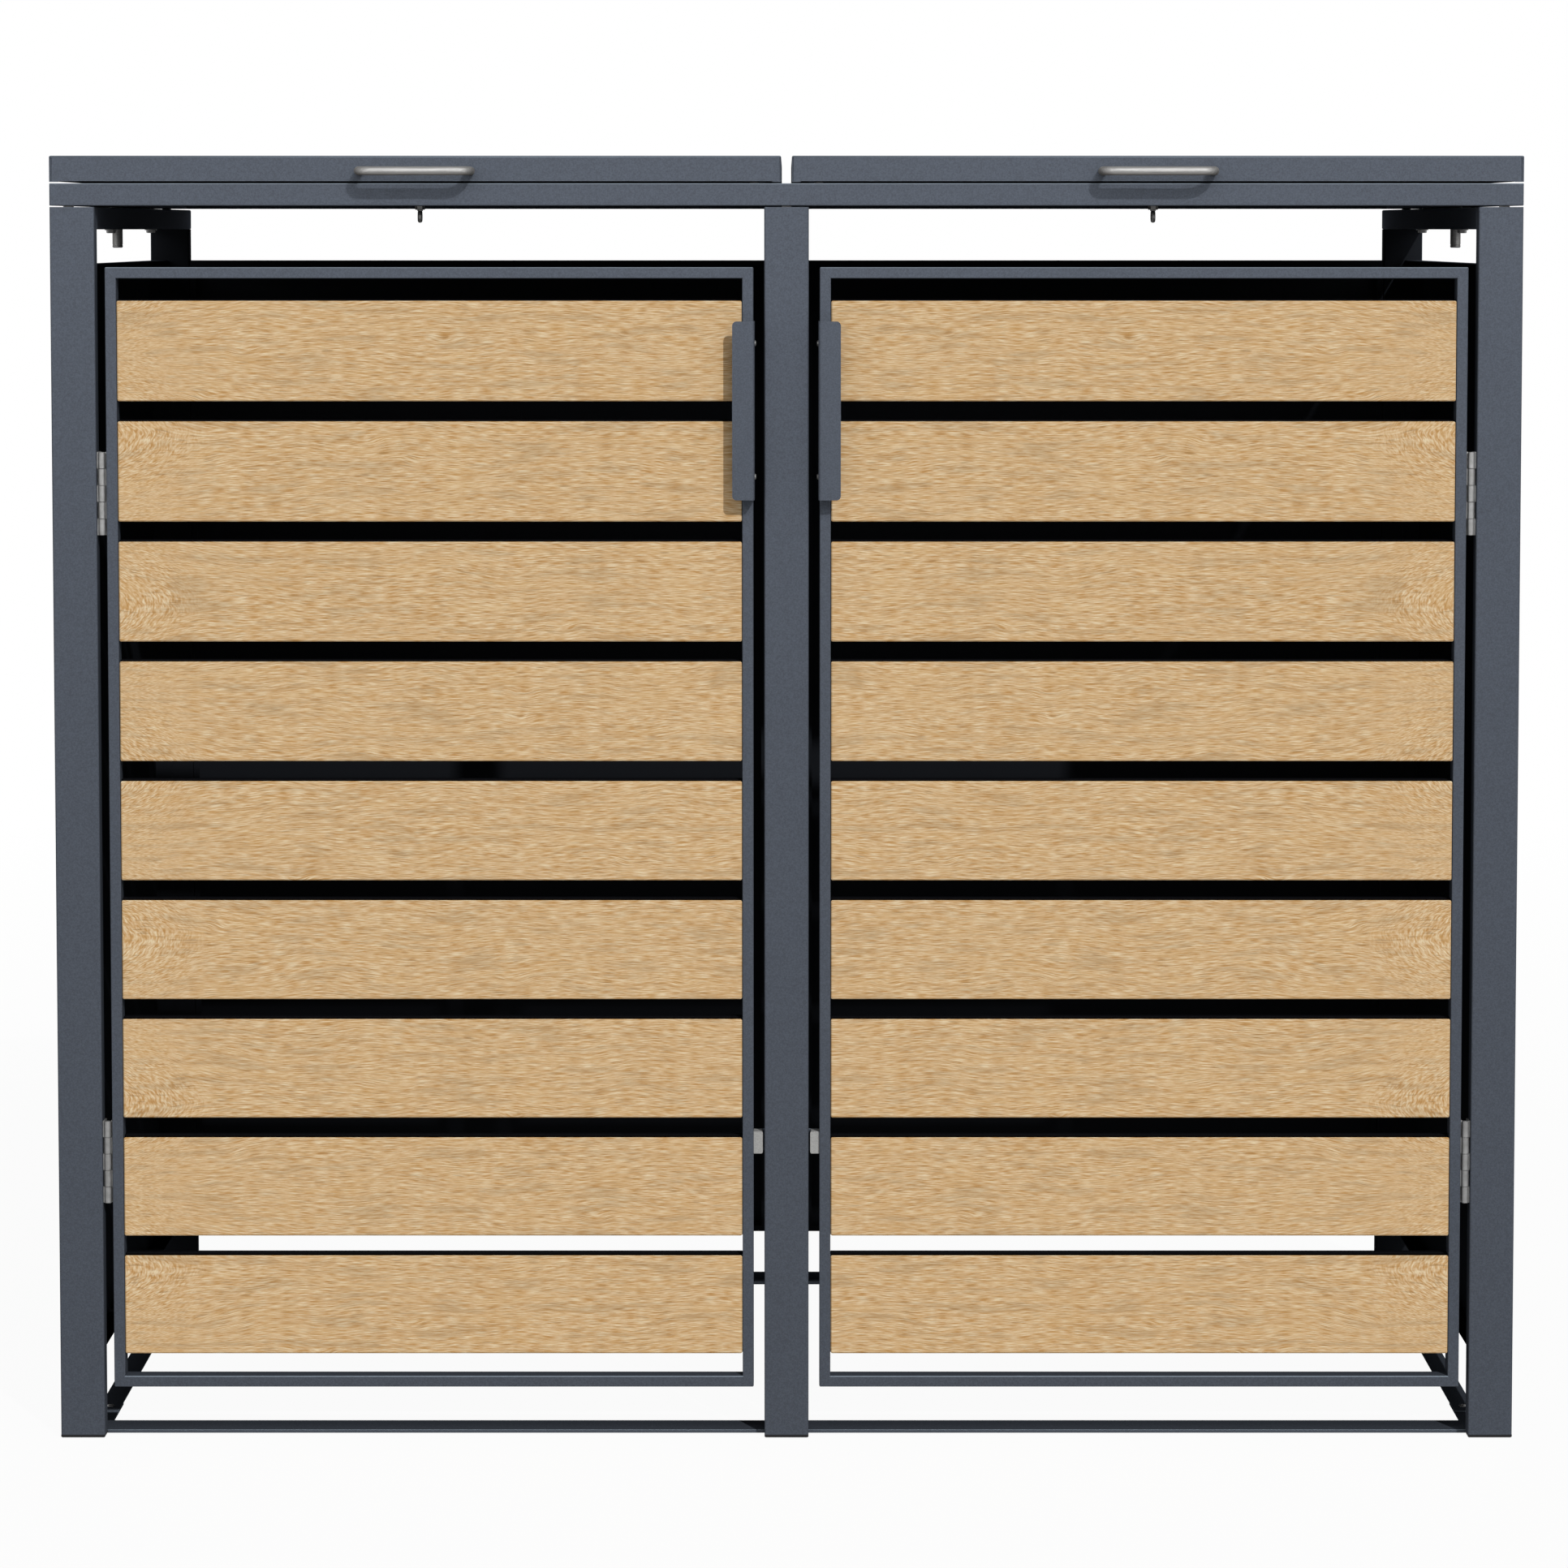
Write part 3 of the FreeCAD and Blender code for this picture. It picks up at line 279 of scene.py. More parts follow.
    # Each tint covers the face where its layer goes from one level to another, with these shares
    calm = add_node(tree, "ShaderNodeMapRange", {0: flame, 1: 0.0, 2: 0.9, 3: 1.0, 4: 0.3})
    for layer, low, high, start, end, tint in (
            ("streaks", 0.52, 0.70, 0.0, 0.42, "#B98D55"),
            ("streaks", 0.46, 0.30, 0.0, 0.27, "#E9D4AE"),
            ("bands", 0.54, 0.70, 0.0, 0.30, "#A8906F"),
            ("bands", 0.46, 0.32, 0.0, 0.16, "#D9B27A"),
            ("pores", 0.26, 0.38, 0.45, 0.0, "#8F6C42")):
        share = add_node(tree, "ShaderNodeMapRange",
                         {0: layers[layer], 1: low, 2: high, 3: start, 4: end})
        if layer == "streaks":
            share = add_node(tree, "ShaderNodeMath", {0: share, 1: calm}, operation="MULTIPLY")
        face = add_node(tree, "ShaderNodeMix", {0: share, 6: face, 7: colour(tint)},
                        data_type="RGBA")

    facing = add_node(tree, "ShaderNodeSeparateXYZ", {"Vector": normal}).outputs["Y"]
    facing = add_node(tree, "ShaderNodeMath", {0: facing}, operation="ABSOLUTE")
    printed = add_node(tree, "ShaderNodeMath", {0: facing, 1: 0.6}, operation="GREATER_THAN")
    board = add_node(tree, "ShaderNodeMix", {0: printed, 6: colour("#120F0D"), 7: face},
                     data_type="RGBA")
    coat_with(tree, fibres, 0.10, 0.5,
              {"Base Color": board, "Roughness": 0.7, "Specular IOR Level": 0.0})
    return material


def satin_stainless():
    """Stainless bar, ground along its length: silky, with fine lines that blur what it mirrors.
    The lines are drawn at 1.2 mm, since real ones are too fine to show."""
    material, tree, place, _ = new_material("satin_ground_stainless")
    drawn_out = add_node(tree, "ShaderNodeMapping", {"Vector": place, "Scale": (0.05, 1, 1)})
    lines = add_node(tree, "ShaderNodeTexNoise",
                     {"Vector": drawn_out, "Scale": per_metre(1.2), "Detail": 3.0})
    tint = add_node(tree, "ShaderNodeValToRGB", {"Fac": lines},
                    [(0.3, "#717170"), (0.7, "#848382")])
    coat_with(tree, lines, 0.02, 0.5,
              {"Base Color": tint, "Metallic": 1.0, "Roughness": 0.6,
               "Specular Tint": (0.16, 0.14, 0.12, 1)})
    return material


def zinc_plate():
    """Bright zinc plate on pressed steel: pale grey and a little cloudy."""
    material, tree, place, _ = new_material("bright_zinc_plate")
    cloud = add_node(tree, "ShaderNodeTexNoise",
                     {"Vector": place, "Scale": per_metre(7.0), "Detail": 4.0})
    tint = add_node(tree, "ShaderNodeValToRGB", {"Fac": cloud},
                    [(0.3, "#7A7A79"), (0.7, "#909090")])
    coat_with(tree, cloud, 0.03, 0.4, {"Base Color": tint, "Metallic": 0.35, "Roughness": 0.42})
    return material


def matt_skin(name, low, high, grain_mm, gloss=0.2):
    """Moulded plastic with a light spark-eroded grain, or dip primer on steel: matt and even."""
    material, tree, place, _ = new_material(name)
    grain = add_node(tree, "ShaderNodeTexNoise",
                     {"Vector": place, "Scale": per_metre(grain_mm), "Detail": 3.0})
    tint = add_node(tree, "ShaderNodeValToRGB", {"Fac": grain}, [(0.35, low), (0.65, high)])
    coat_with(tree, grain, 0.04, 0.5,
              {"Base Color": tint, "Roughness": 0.6, "Specular IOR Level": gloss})
    return material


POWDER = fine_texture_powder_coat()
# Powder coat whose inward faces get a dark colour as painted shade of the store's inside
SHADED_PANEL_COAT = fine_texture_powder_coat("powder_coat_with_painted_inner_shade", "#1E2024")
OAK = oak_decor_board()
STAINLESS = satin_stainless()
ZINC = zinc_plate()
BLACK_PLASTIC = matt_skin("black_polypropylene", "#0D0D0E", "#17171A", 1.2)
GREY_PLASTIC = matt_skin("grey_polyamide", "#989897", "#A9A9A7", 1.0)
BLACK_PRIMER = matt_skin("black_dip_primer", "#101013", "#18191C", 1.5, 0.0)
RUBBER = matt_skin("pale_soft_elastomer", "#B9B8B3", "#C9C8C4", 1.0)
FINISHES = {"powder_coat": POWDER, "oak_board": OAK, "stainless": STAINLESS, "zinc": ZINC,
            "black_plastic": BLACK_PLASTIC, "grey_plastic": GREY_PLASTIC, "bumper": RUBBER}


def finish_frame():
    """Give every node of the frame the finish of its slot."""
    slots = {part["node"]: part["material_slot"] for part in frame["record"]["subparts"]}
    for name, piece in frame["nodes"].items():
        # Panels get the powder coat with painted shade on their inward faces
        finish = SHADED_PANEL_COAT if name.endswith("panel") else FINISHES[slots[name]]
        piece.data.materials.clear()
        piece.data.materials.append(finish)


# Pieces

def new_piece(name, mesh, material, body, replaced=()):
    """A finished mesh as a piece that rides on a body, in place of some of its nodes."""
    piece = bpy.data.objects.new(name, mesh)
    bpy.context.scene.collection.objects.link(piece)
    if material is not None:
        mesh.materials.clear()
        mesh.materials.append(material)
    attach(piece, body)
    if replaced:
        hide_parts(*replaced)
    return piece


def mesh_from(build, name):
    """Make a mesh with bmesh, with its doubles merged and its faces turned outwards."""
    work = bmesh.new()
    build(work)
    bmesh.ops.remove_doubles(work, verts=work.verts, dist=SAME_SPOT)
    bmesh.ops.recalc_face_normals(work, faces=work.faces)
    mesh = bpy.data.meshes.new(name)
    work.to_mesh(mesh)
    work.free()
    return mesh


def smooth_by_angle(mesh, degrees=35):
    mesh.shade_smooth()
    mesh.set_sharp_from_angle(angle=math.radians(degrees))


def block(work, low, high, bevel=0.0, axis=None):
    """A box between two corners, its edges rounded: all of them, or those along one axis."""
    made = bmesh.ops.create_cube(work, size=1.0)["verts"]
    low, high = Vector(low), Vector(high)
    for vert in made:
        vert.co = [low[i] + (vert.co[i] + 0.5) * (high[i] - low[i]) for i in range(3)]
    if bevel:
        edges = {edge for vert in made for edge in vert.link_edges}
        if axis is not None:
            edges = [edge for edge in edges
                     if abs((edge.verts[0].co - edge.verts[1].co)[axis]) > 0.1 * SAME_SPOT]
        bmesh.ops.bevel(work, geom=list(edges), offset=bevel, segments=3, profile=0.5,
                        affect="EDGES")


def turned(work, profile, steps, turn=None, place=(0, 0, 0)):
    """A shape turned on a lathe about Z from (radius, height) points, then turned and placed."""
    matrix = Matrix.Translation(Vector(place)) @ (turn or Matrix.Identity(4))
    angles = [2 * math.pi * step / steps for step in range(steps)]
    rings = []
    for radius, height in profile:
        if radius == 0:
            ring = [(0, 0, height)]
        else:
            ring = [(radius * math.cos(angle), radius * math.sin(angle), height)
                    for angle in angles]
        rings.append([work.verts.new(matrix @ Vector(spot)) for spot in ring])
    for below, above in zip(rings, rings[1:]):
        for step in range(steps):
            after = (step + 1) % steps
            corners = [below[step % len(below)], below[after % len(below)],
                       above[after % len(above)], above[step % len(above)]]
            corners = list(dict.fromkeys(corners))
            if len(corners) > 2:
                work.faces.new(corners)


def posts_and_rails():
    """Posts and rails of drawn tube, whose long corners are rolled to 1.5 mm. The front centre
    post carries the plate that the catches close against."""
    roll, plate_half, plate_thick, plate_edge = 0.0015, 0.028, 0.002, 0.0005
    for name in ("front_left_post", "front_right_post", "front_centre_post", "rear_left_post",
                 "rear_centre_post", "rear_right_post", "left_top_rail", "centre_top_rail",
                 "right_top_rail"):
        low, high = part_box(name)
        axis = 1 if name.endswith("rail") else 2
        plated = name == "front_centre_post"
        if plated:
            low = Vector((-POST_WIDTH / 2, FRONT, low.z))
            high = Vector((POST_WIDTH / 2, FRONT + POST_DEPTH, high.z))

        def build(work, low=low, high=high, axis=axis, plated=plated):
            block(work, low, high, roll, axis)
            if plated:
                block(work, (-plate_half, high.y, CATCH_FOOT),
                      (plate_half, high.y + plate_thick, CATCH_TOP), plate_edge)

        # Rear posts get painted shade on their inward faces, like the panels
        finish = SHADED_PANEL_COAT if name.startswith("rear") else POWDER
        new_piece(f"tube_{name}", mesh_from(build, name), finish, "carcass",
                  [name])


def lies_along_an_axis(edge):
    run = edge.verts[0].co - edge.verts[1].co
    return max(abs(step) for step in run) > 0.999 * run.length


def rounded_copy(node, radius, belongs=lambda spot: True):
    """The faces of a node whose middle belongs, with the long corners of the tube rounded."""
    flat, sharp, shortest = math.radians(0.5), math.radians(60), 0.009

    def build(work):
        work.from_mesh(frame["nodes"][node].data)
        bmesh.ops.remove_doubles(work, verts=work.verts, dist=SAME_SPOT)
        bmesh.ops.dissolve_limit(work, angle_limit=flat, verts=work.verts, edges=work.edges)
        others = [face for face in work.faces if not belongs(face.calc_center_bounds())]
        bmesh.ops.delete(work, geom=others, context="FACES")
        corners = [edge for edge in work.edges
                   if edge.is_convex and edge.calc_face_angle() > sharp
                   and edge.calc_length() > shortest and lies_along_an_axis(edge)]
        bmesh.ops.bevel(work, geom=corners, offset=radius, segments=2, profile=0.5,
                        affect="EDGES", clamp_overlap=True)

    return mesh_from(build, node)


def welded_frames():
    """Top frame, floor bars, folded lids and door frames, and the black channels that carry the
    boards."""
    for node, radius, body in (("top_frame", 0.0012, "carcass"),
                               ("floor_bars", 0.0004, "carcass"),
                               ("left_lid", 0.0014, "left_lid"),
                               ("right_lid", 0.0014, "right_lid")):
        new_piece(f"welded_{node}", rounded_copy(node, radius), POWDER, body,
                  [node])

    def is_channel(spot):
        """The channels lie inside the door's tubes."""
        return 0.0399 < abs(spot.x) < 0.6011 and 0.0570 < spot.z < 1.0526

    for hand, _ in SIDES:
        node = f"{hand}_door_frame"
        for label, finish, belongs in (
                ("tubes", POWDER, lambda spot: not is_channel(spot)),
                ("channels", BLACK_PRIMER, is_channel)):
            new_piece(f"{hand}_door_{label}", rounded_copy(node, 0.0008, belongs), finish,
                      f"{hand}_door", [node])


def board_tree():
    """A ladder of boards: a rounded rectangle, given its thickness, a narrow bevel round its
    front and repeated up the door."""
    tree = bpy.data.node_groups.new("board_ladder", "GeometryNodeTree")
    face = tree.interface
    face.new_socket("Geometry", in_out="OUTPUT", socket_type="NodeSocketGeometry")
    for name, kind in (("Length", "Float"), ("Height", "Float"), ("Thickness", "Float"),
                       ("Corner", "Float"), ("Bevel", "Float"), ("Pitch", "Float"),
                       ("Count", "Int"), ("First", "Vector"), ("Finish", "Material")):
        face.new_socket(name, in_out="INPUT", socket_type=f"NodeSocket{kind}")
    given = add_node(tree, "NodeGroupInput").outputs
    outline = add_node(tree, "GeometryNodeCurvePrimitiveQuadrilateral",
                       {"Width": given["Length"], "Height": given["Height"]})
    rounded = add_node(tree, "GeometryNodeFilletCurve",
                       {"Curve": outline, "Radius": given["Corner"], "Count": 5}, mode="POLY")
    sheet = add_node(tree, "GeometryNodeFillCurve", {"Curve": rounded}, mode="NGONS")
    depth = add_node(tree, "ShaderNodeMath", {0: given["Thickness"], 1: given["Bevel"]},
                     operation="SUBTRACT")
    solid = add_node(tree, "GeometryNodeExtrudeMesh",
                     {"Mesh": sheet, "Offset Scale": depth, "Individual": False})
    solid = add_node(tree, "GeometryNodeExtrudeMesh",
                     {"Mesh": solid, "Selection": solid.outputs["Top"],
                      "Offset Scale": given["Bevel"], "Individual": False})
    outer = add_node(tree, "ShaderNodeVectorMath",
                     {0: add_node(tree, "GeometryNodeInputPosition")}, operation="SIGN")
    inset = add_node(tree, "ShaderNodeVectorMath", {0: outer, 1: (-1, -1, 0)},
                     operation="MULTIPLY")
    inset = add_node(tree, "ShaderNodeVectorMath", {0: inset, "Scale": given["Bevel"]},
                     operation="SCALE")
    solid = add_node(tree, "GeometryNodeSetPosition",
                     {"Geometry": solid, "Selection": solid.outputs["Top"], "Offset": inset})
    back = add_node(tree, "GeometryNodeFlipFaces", {"Mesh": sheet})
    closed = add_node(tree, "GeometryNodeJoinGeometry")
    tree.links.new(solid.outputs[0], closed.inputs[0])
    tree.links.new(back.outputs[0], closed.inputs[0])
    merged = add_node(tree, "GeometryNodeMergeByDistance",
                      {"Geometry": closed, "Distance": SAME_SPOT})
    upright = add_node(tree, "GeometryNodeTransform",
                       {"Geometry": merged, "Rotation": (math.radians(90), 0, 0)})
    step = add_node(tree, "ShaderNodeCombineXYZ", {"Z": given["Pitch"]})
    rows = add_node(tree, "GeometryNodeMeshLine",
                    {"Count": given["Count"], "Start Location": given["First"], "Offset": step},
                    mode="OFFSET")
    set_out = add_node(tree, "GeometryNodeInstanceOnPoints",
                       {"Points": rows, "Instance": upright})
    real = add_node(tree, "GeometryNodeRealizeInstances", {"Geometry": set_out})
    coated = add_node(tree, "GeometryNodeSetMaterial",
                      {"Geometry": real, "Material": given["Finish"]})
    add_node(tree, "NodeGroupOutput", {"Geometry": coated})
    return tree


def row_tree():
    """Copies of one small piece at the points of a mesh."""
    tree = bpy.data.node_groups.new("copies_at_points", "GeometryNodeTree")
    face = tree.interface
    face.new_socket("Geometry", in_out="INPUT", socket_type="NodeSocketGeometry")
    face.new_socket("Geometry", in_out="OUTPUT", socket_type="NodeSocketGeometry")
    face.new_socket("Piece", in_out="INPUT", socket_type="NodeSocketObject")
    face.new_socket("Finish", in_out="INPUT", socket_type="NodeSocketMaterial")
    given = add_node(tree, "NodeGroupInput").outputs
    piece = add_node(tree, "GeometryNodeObjectInfo", {"Object": given["Piece"]})
    set_out = add_node(tree, "GeometryNodeInstanceOnPoints",
                       {"Points": given["Geometry"], "Instance": piece.outputs["Geometry"]})
    real = add_node(tree, "GeometryNodeRealizeInstances", {"Geometry": set_out})
    coated = add_node(tree, "GeometryNodeSetMaterial",
                      {"Geometry": real, "Material": given["Finish"]})
    add_node(tree, "NodeGroupOutput", {"Geometry": coated})
    return tree


def evaluated_mesh(holder):
    """The mesh that an object shows with its modifiers or its bevel."""
    bpy.context.view_layer.update()
    return bpy.data.meshes.new_from_object(
        holder.evaluated_get(bpy.context.evaluated_depsgraph_get()))


def grown(tree, name, base, **values):
    """The mesh that a tree of nodes makes on a base mesh, once, with these inputs."""
    holder = bpy.data.objects.new(name, base)
    bpy.context.scene.collection.objects.link(holder)
    modifier = holder.modifiers.new("grow", "NODES")
    modifier.node_group = tree
    for item in tree.interface.items_tree:
        if item.in_out == "INPUT" and item.name in values:
            modifier[item.identifier] = values[item.name]
    mesh = evaluated_mesh(holder)
    mesh.name = name
    holder.modifiers.remove(modifier)
    bpy.data.objects.remove(holder)
    return mesh


ROWS = row_tree()


def copies(name, build, points, material):
    """One mesh with a copy of a small piece at each point."""
    seed = bpy.data.objects.new(f"{name}_seed", mesh_from(build, f"{name}_seed"))
    smooth_by_angle(seed.data)
    spots = bpy.data.meshes.new(f"{name}_spots")
    spots.from_pydata([tuple(point) for point in points], [], [])
    mesh = grown(ROWS, name, spots, Piece=seed, Finish=material)
    bpy.data.objects.remove(seed)
    return mesh


def boards():
    """Nine boards on each door, set out from the lowest one."""
    tree = board_tree()
    for hand, _ in SIDES:
        low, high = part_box(f"{hand}_board_{BOARD_COUNT}")
        size, middle = high - low, (low + high) / 2
        mesh = grown(tree, f"{hand}_boards", bpy.data.meshes.new("no_points"), Length=size.x,
                     Height=size.z, Thickness=size.y, Corner=0.0016, Bevel=0.001,
                     Pitch=BOARD_PITCH, Count=BOARD_COUNT, First=(middle.x, high.y, middle.z),
                     Finish=OAK)
        new_piece(f"{hand}_boards", mesh, None, f"{hand}_door",
                  [f"{hand}_board_{number}" for number in range(1, BOARD_COUNT + 1)])


def bow_handles():
    """A bar of 8 mm bent to a bow, swept along its own line."""
    half, reach, bend, level, bar = 0.0495, 0.029, 0.012, 1.1487, 0.004
    for hand, side in SIDES:
        line = bpy.data.curves.new(f"{hand}_bow", "CURVE")
        line.dimensions = "3D"
        line.bevel_depth = bar
        line.bevel_resolution = 7
        line.use_fill_caps = True
        points = [(-half, 0.0)]
        for start, centre in ((math.pi, bend - half), (1.5 * math.pi, half - bend)):
            for step in range(13):
                turn = start + math.pi / 2 * step / 12
                points.append((centre + bend * math.cos(turn),
                               bend - reach + bend * math.sin(turn)))
        points.append((half, 0.0))
        spline = line.splines.new("POLY")
        spline.points.add(len(points) - 1)
        for point, (x, y) in zip(spline.points, points):
            point.co = (side * LID_MIDDLE + x, FRONT + y, level, 1)
        holder = bpy.data.objects.new(f"{hand}_bow_line", line)
        bpy.context.scene.collection.objects.link(holder)
        mesh = evaluated_mesh(holder)
        bpy.data.objects.remove(holder)
        smooth_by_angle(mesh, 50)
        new_piece(f"{hand}_bow", mesh, STAINLESS, f"{hand}_lid",
                  [f"{hand}_lid_handle"])


def hinge_parts():
    """Butt hinges: pressed leaves and rolled knuckles with some play between them. The door's
    stand upright and have five knuckles, the lid's lie down and have three."""
    length, width, thick, edge = 0.075, 0.0165, 0.002, 0.0004
    radius, pin, rounding, play = 0.0031, 0.0016, 0.00035, 0.0002
    # Leaves start a gap behind the knuckles, and their tongues overlap into these. The door's lie
    # between two distances to each side of the pin
    gap, overlap, leaf_near, leaf_far = 0.0003, 0.0008, 0.00245, 0.00445
    door_axis, door_levels = (0.61555, FRONT + radius), (0.2153, 0.8221)
    lid_axis, lid_starts = (REAR + radius, 1.13875), {-1: (-0.56, -0.1798), 1: (0.485, 0.1048)}
    along_x = Matrix.Rotation(math.radians(90), 4, "Y")

    def knuckle(size):
        return [(pin, rounding), (pin + rounding, 0.0), (radius - rounding, 0.0),
                (radius, rounding), (radius, size - rounding), (radius - rounding, size),
                (pin + rounding, size), (pin, size - rounding), (pin, rounding)]

    def upright(work, first, side, way):
        """The leaves on one side of a door's pins, from this knuckle on: way is 1 towards the
        post and -1 towards the door."""
        x, y = side * door_axis[0], door_axis[1]
        near, far = sorted((x + way * side * leaf_near, x + way * side * leaf_far))
        step = length / 5
        for base in door_levels:
            for number in range(first, 5, 2):
                start = base + number * step + play / 2
                turned(work, knuckle(step - play), LATHE_STEPS, None, (x, y, start))
                block(work, (near, y + overlap, start),
                      (far, y + radius + gap, start + step - play))
            block(work, (near, y + radius + gap, base), (far, y + width, base + length), edge)

    def lying(work, first, side, way):
        """The leaves above (way 1) or under (way -1) a lid's pins, from this knuckle on."""
        y, z = lid_axis
        step = length / 3
        for base in lid_starts[side]:
            for number in range(first, 3, 2):
                start = base + number * step + play / 2
                turned(work, knuckle(step - play), LATHE_STEPS, along_x, (start, y, z))
                low, high = sorted((way * overlap, way * (radius + gap)))
                block(work, (start, y - radius, z + low),
                      (start + step - play, y - radius + thick, z + high))
            low, high = sorted((way * (radius + gap), way * width))
            block(work, (base, y - radius, z + low),
                  (base + length, y - radius + thick, z + high), edge)

    def fixed(work):
        for _, side in SIDES:
            upright(work, 0, side, 1)
            lying(work, 0, side, -1)

    leaves = []
    for hand, side in SIDES:
        leaves += [(f"{hand}_door_leaves", f"{hand}_door",
                    lambda work, side=side: upright(work, 1, side, -1)),
                   (f"{hand}_lid_leaves", f"{hand}_lid",
                    lambda work, side=side: lying(work, 1, side, 1))]
    leaves.append(("fixed_hinge_leaves", "carcass", fixed))
    for node, body, build in leaves:
        mesh = mesh_from(build, node)
        smooth_by_angle(mesh)
        name = node.replace("fixed_hinge", "fixed")
        new_piece(f"{name}_detail", mesh, ZINC, body, [node])


def eye_bolts():
    """Cast eye on a shank, held under the lid's bracket by two hexagon nuts."""
    y, level, steps, around = FRONT + 0.065, 1.10835, 40, 12
    ring_radius, wire_half, half_thick = 0.004375, 0.001375, 0.002
    bracket_foot, bracket_thick, shank_over = 1.1183, 0.0015, 0.008
    shank_foot, shank_top = level + 0.0048, bracket_foot + bracket_thick + shank_over
    shank, nut_height, nut_corner, nut_flat, nut_edge = 0.0025, 0.004, 0.0046188, 0.004, 0.0005
    nut_bases = (bracket_foot - nut_height, bracket_foot + bracket_thick)
    for hand, side in SIDES:
        x = side * LID_MIDDLE

        def build(work, x=x):
            rings = []
            for step in range(steps):
                turn = 2 * math.pi * step / steps
                ring = []
                for corner in range(around):
                    roll = 2 * math.pi * corner / around
                    out = ring_radius + wire_half * math.cos(roll)
                    ring.append(work.verts.new((x + half_thick * math.sin(roll),
                                                y + out * math.cos(turn),
                                                level + out * math.sin(turn))))
                rings.append(ring)
            for ring, following in zip(rings, rings[1:] + rings[:1]):
                for corner in range(around):
                    after = (corner + 1) % around
                    work.faces.new([ring[corner], ring[after], following[after],
                                    following[corner]])
            turned(work, [(0, shank_foot), (shank - 0.0001, shank_foot),
                          (shank, shank_foot + 0.0004), (shank, shank_top - 0.0006),
                          (shank - 0.0006, shank_top), (0, shank_top)], 24, None, (x, y, 0))
            for base in nut_bases:
                turned(work, [(0, base), (nut_flat, base), (nut_corner, base + nut_edge),
                              (nut_corner, base + nut_height - nut_edge),
                              (nut_flat, base + nut_height), (0, base + nut_height)],
                       6, None, (x, y, 0))

        mesh = mesh_from(build, "eye")
        smooth_by_angle(mesh)
        new_piece(f"{hand}_eye", mesh, STAINLESS, f"{hand}_lid",
                  [f"{hand}_eye_bolt"])


def dampers():
    """Drill-in dampers: a turned sleeve with a chamfered foot, a groove and a flat collar, and
    the plunger."""
    foot, top, radius, collar, collar_high = 1.0791, 1.1378, 0.0049, 0.0065, 0.0008
    bore, bore_deep, edge = 0.0016, 0.03, 0.0002

    def sleeve(work):
        turned(work, [(0, foot), (radius - 0.0008, foot), (radius, foot + 0.0008),
                      (radius, foot + 0.0022), (radius - 0.0003, foot + 0.0024),
                      (radius - 0.0003, foot + 0.003), (radius, foot + 0.0032),
                      (radius, top), (collar - edge, top), (collar, top + edge),
                      (collar, top + collar_high - edge), (collar - edge, top + collar_high),
                      (bore + 0.0003, top + collar_high), (bore, top + collar_high - 0.0003),
                      (bore, top - bore_deep), (0, top - bore_deep)], 40)

    spots = [(side * RAIL_LINE, FRONT + DAMPER_BACK, 0) for _, side in SIDES]
    mesh = copies("damper_sleeves", sleeve, spots, STAINLESS)
    new_piece("damper_sleeves", mesh, None, "carcass", ["damper_cylinders"])
    for (hand, _), spot in zip(SIDES, spots):
        low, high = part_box(f"{hand}_plunger")

        def rod(work, low=low.z, high=high.z, spot=spot):
            turned(work, [(0, low), (0.0013, low), (0.0015, low + edge), (0.0015, high - 0.0007),
                          (0.0012, high - edge), (0.0006, high), (0, high)], 24, None, spot)

        mesh = mesh_from(rod, "rod")
        smooth_by_angle(mesh)
        new_piece(f"{hand}_plunger_rod", mesh, STAINLESS, f"{hand}_plunger",
                  [f"{hand}_plunger"])


def bumpers():
    """Soft round pads that the lids come down on."""
    low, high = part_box("lid_bumpers")
    thick = high.z - low.z

    def pad(work):
        turned(work, [(0, 0), (0.004, 0), (0.004, thick * 0.55), (0.0036, thick * 0.85),
                      (0.0028, thick), (0, thick)], LATHE_STEPS)

    spots = [(side * 0.029, FRONT + 0.012, low.z) for _, side in SIDES]
    spots += [(side * RAIL_LINE, REAR - 0.028, low.z) for _, side in SIDES]
    mesh = copies("bumper_pads", pad, spots, RUBBER)
    new_piece("bumper_pads", mesh, None, "carcass", ["lid_bumpers"])


def socket_screw(radius, height, turn=None):
    """A button head with a hexagon socket, standing on z = 0 and then turned."""
    socket, floor = radius * 0.42, height * 0.35

    def build(work):
        turned(work, [(0, 0), (radius, 0), (radius, height * 0.25), (radius * 0.88, height * 0.62),
                      (radius * 0.66, height * 0.9), (radius * 0.5, height)], 30, turn)
        turned(work, [(radius * 0.5, height), (socket, height)], 30, turn)
        turned(work, [(socket, height), (socket * 0.96, floor), (0, floor)], 30, turn)

    return build


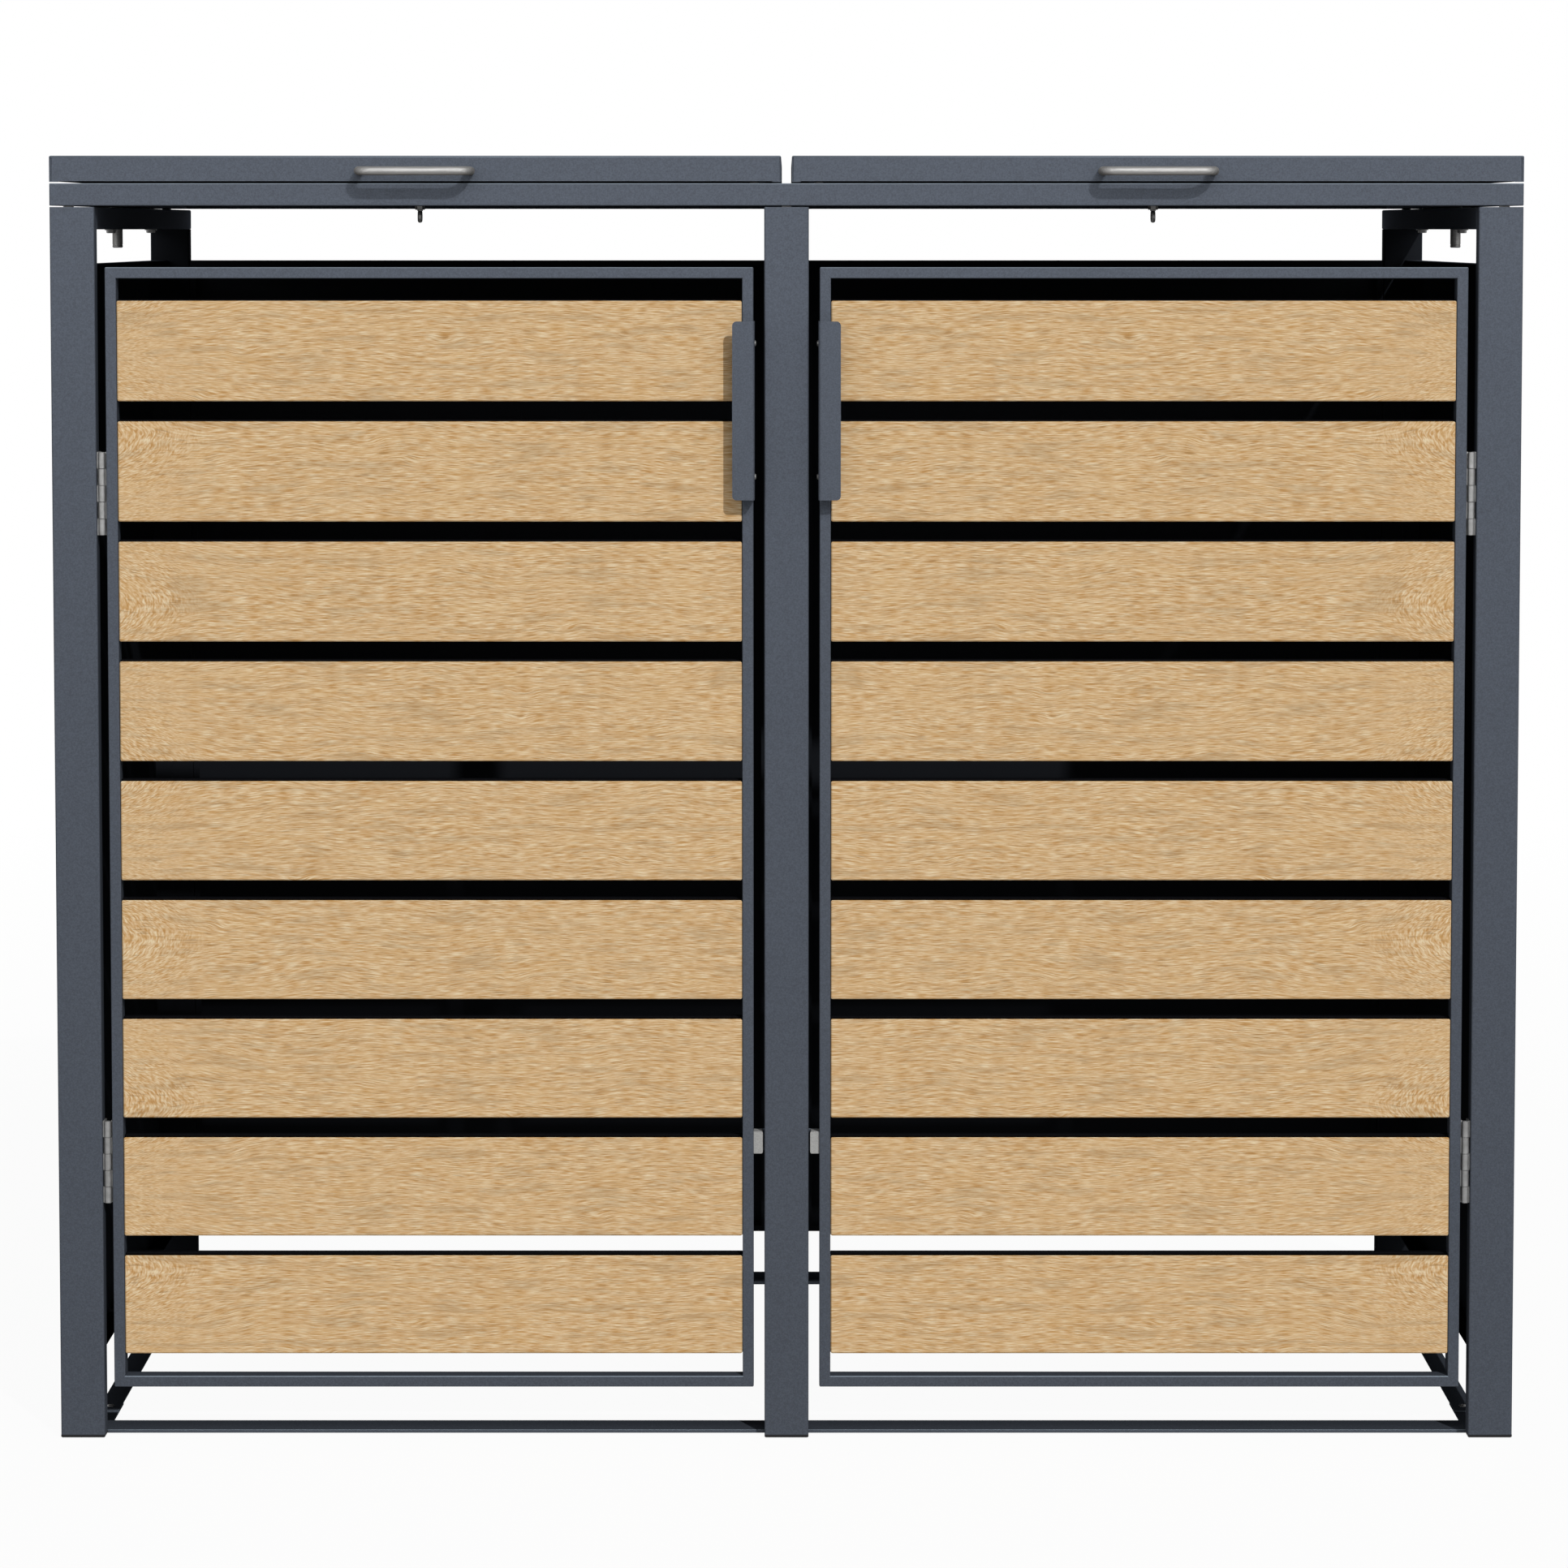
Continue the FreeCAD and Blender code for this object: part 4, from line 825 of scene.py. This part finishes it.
def screws_and_bolts():
    """Button-head screws in the grips and floor bars, and hexagon heads under the rails."""
    for hand, side in SIDES:
        turn = Matrix.Rotation(math.radians(-90 * side), 4, "Y")
        spots = [(side * GRIP_FLANK, FRONT + 0.010, level) for level in GRIP_SCREWS]
        mesh = copies(f"{hand}_grip_screws", socket_screw(0.0026, 0.0014, turn), spots, ZINC)
        new_piece(f"{hand}_grip_screws", mesh, None, f"{hand}_door")

    def bolt(work):
        washer, corner, chamfer = 0.006, 0.0045, 0.0038
        turned(work, [(0, 0), (washer, 0), (washer, -0.0008), (corner, -0.0008)], LATHE_STEPS)
        turned(work, [(corner, -0.0008), (corner, -0.003), (chamfer, -0.0036), (0, -0.0036)], 6)

    rail_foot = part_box("left_top_rail")[0].z
    spots = [(x, FRONT + back, rail_foot) for x in (-RAIL_LINE, 0, RAIL_LINE)
             for back in RAIL_BOLTS_BACK]
    mesh = copies("rail_bolt_heads", bolt, spots, ZINC)
    new_piece("rail_bolt_heads", mesh, None, "carcass")
    bar_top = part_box("floor_bars")[1].z
    spots = [(side * 0.63, y, bar_top) for _, side in SIDES
             for y in (FRONT + 0.120, REAR - 0.135)]
    mesh = copies("floor_screws", socket_screw(0.0035, 0.0016), spots, ZINC)
    new_piece("floor_screws", mesh, None, "carcass")


# Camera, floor and light

def camera():
    """The eye stands 4.9 m in front of the store, level with the underside of its rails, and
    looks a little down."""
    data = bpy.data.cameras.new("eye")
    eye = bpy.data.objects.new("eye", data)
    bpy.context.scene.collection.objects.link(eye)
    data.sensor_width = 36.0
    data.lens = 125.636
    data.shift_x, data.shift_y = -0.0016, -0.10
    eye.location = (0, FRONT - 4.913, 1.0968)
    eye.rotation_euler = (math.radians(90 - 4.16), 0, 0)
    bpy.context.scene.camera = eye


def white_to_the_eye(tree, plain, share):
    """White where the eye, a mirror or glass sees it, mixed with the plain shader."""
    rays = add_node(tree, "ShaderNodeLightPath").outputs
    seen = add_node(tree, "ShaderNodeMath", {0: rays["Is Camera Ray"], 1: rays["Is Glossy Ray"]},
                    operation="MAXIMUM")
    seen = add_node(tree, "ShaderNodeMath", {0: seen, 1: rays["Is Transmission Ray"]},
                    operation="MAXIMUM")
    factor = add_node(tree, "ShaderNodeMath", {0: seen, 1: share}, operation="MULTIPLY")
    white = add_node(tree, "ShaderNodeEmission", {"Color": colour("#FFFFFF"), "Strength": 1.0})
    return add_node(tree, "ShaderNodeMixShader", {0: factor, 1: plain, 2: white})


def pale_floor():
    """A matt floor that keeps the shadow near the store and fades to white further off."""
    paint, tree, place, _ = new_material("pale_floor")
    matt = add_node(tree, "ShaderNodeBsdfDiffuse", {"Color": colour("#D8D8D7")})
    away = add_node(tree, "ShaderNodeVectorMath", {0: place}, operation="LENGTH")
    fading = add_node(tree, "ShaderNodeMapRange", {0: away, 1: 1.5, 2: 5.0, 3: 0.955, 4: 1.0})
    add_node(tree, "ShaderNodeOutputMaterial",
             {"Surface": white_to_the_eye(tree, matt, fading)})
    mesh = mesh_from(lambda work: bmesh.ops.create_grid(work, x_segments=1, y_segments=1,
                                                        size=20.0), "floor")
    mesh.materials.append(paint)
    floor = bpy.data.objects.new("floor", mesh)
    floor.location.z = -0.0005
    bpy.context.scene.collection.objects.link(floor)


def studio():
    """A pale floor, a grey sky, a sun for the crisp shadows, a softbox in front and above, and a
    card that only shows as a sheen, strongest at the top of the store."""
    pale_floor()
    world = bpy.data.worlds.new("studio")
    world.use_nodes = True
    tree = world.node_tree
    tree.nodes.clear()
    sky = add_node(tree, "ShaderNodeBackground", {"Color": colour("#FFFFFF"), "Strength": 0.27})
    add_node(tree, "ShaderNodeOutputWorld", {"Surface": white_to_the_eye(tree, sky, 1.0)})
    bpy.context.scene.world = world

    def hang(name, kind, power, back):
        """A lamp that shines against this direction."""
        data = bpy.data.lights.new(name, kind)
        data.energy = power
        lamp = bpy.data.objects.new(name, data)
        lamp.rotation_mode = "QUATERNION"
        lamp.rotation_quaternion = Vector(back).to_track_quat("Z", "Y")
        bpy.context.scene.collection.objects.link(lamp)
        return lamp

    sun = hang("sun", "SUN", 1.9, (0.41, -1.0, 0.70))
    sun.data.angle = math.radians(1.0)
    for name, size, place, aim, power, sheen_only in (
            ("softbox", (3.0, 1.5), (0.4, -3.9, 4.2), (0, FRONT, 1.0), 35.0, False),
            ("sheen_card", (5.0, 0.9), (0, FRONT - 1.6, 1.75), (0, FRONT, 1.75), 88.0, True)):
        lamp = hang(name, "AREA", power, Vector(place) - Vector(aim))
        lamp.location = place
        lamp.data.shape = "RECTANGLE"
        lamp.data.size, lamp.data.size_y = size
        lamp.visible_camera = False
        lamp.visible_diffuse = not sheen_only
    bpy.context.scene.view_settings.view_transform = "Standard"


finish_frame()
posts_and_rails()
welded_frames()
boards()
bow_handles()
hinge_parts()
eye_bolts()
dampers()
bumpers()
screws_and_bolts()
camera()
studio()
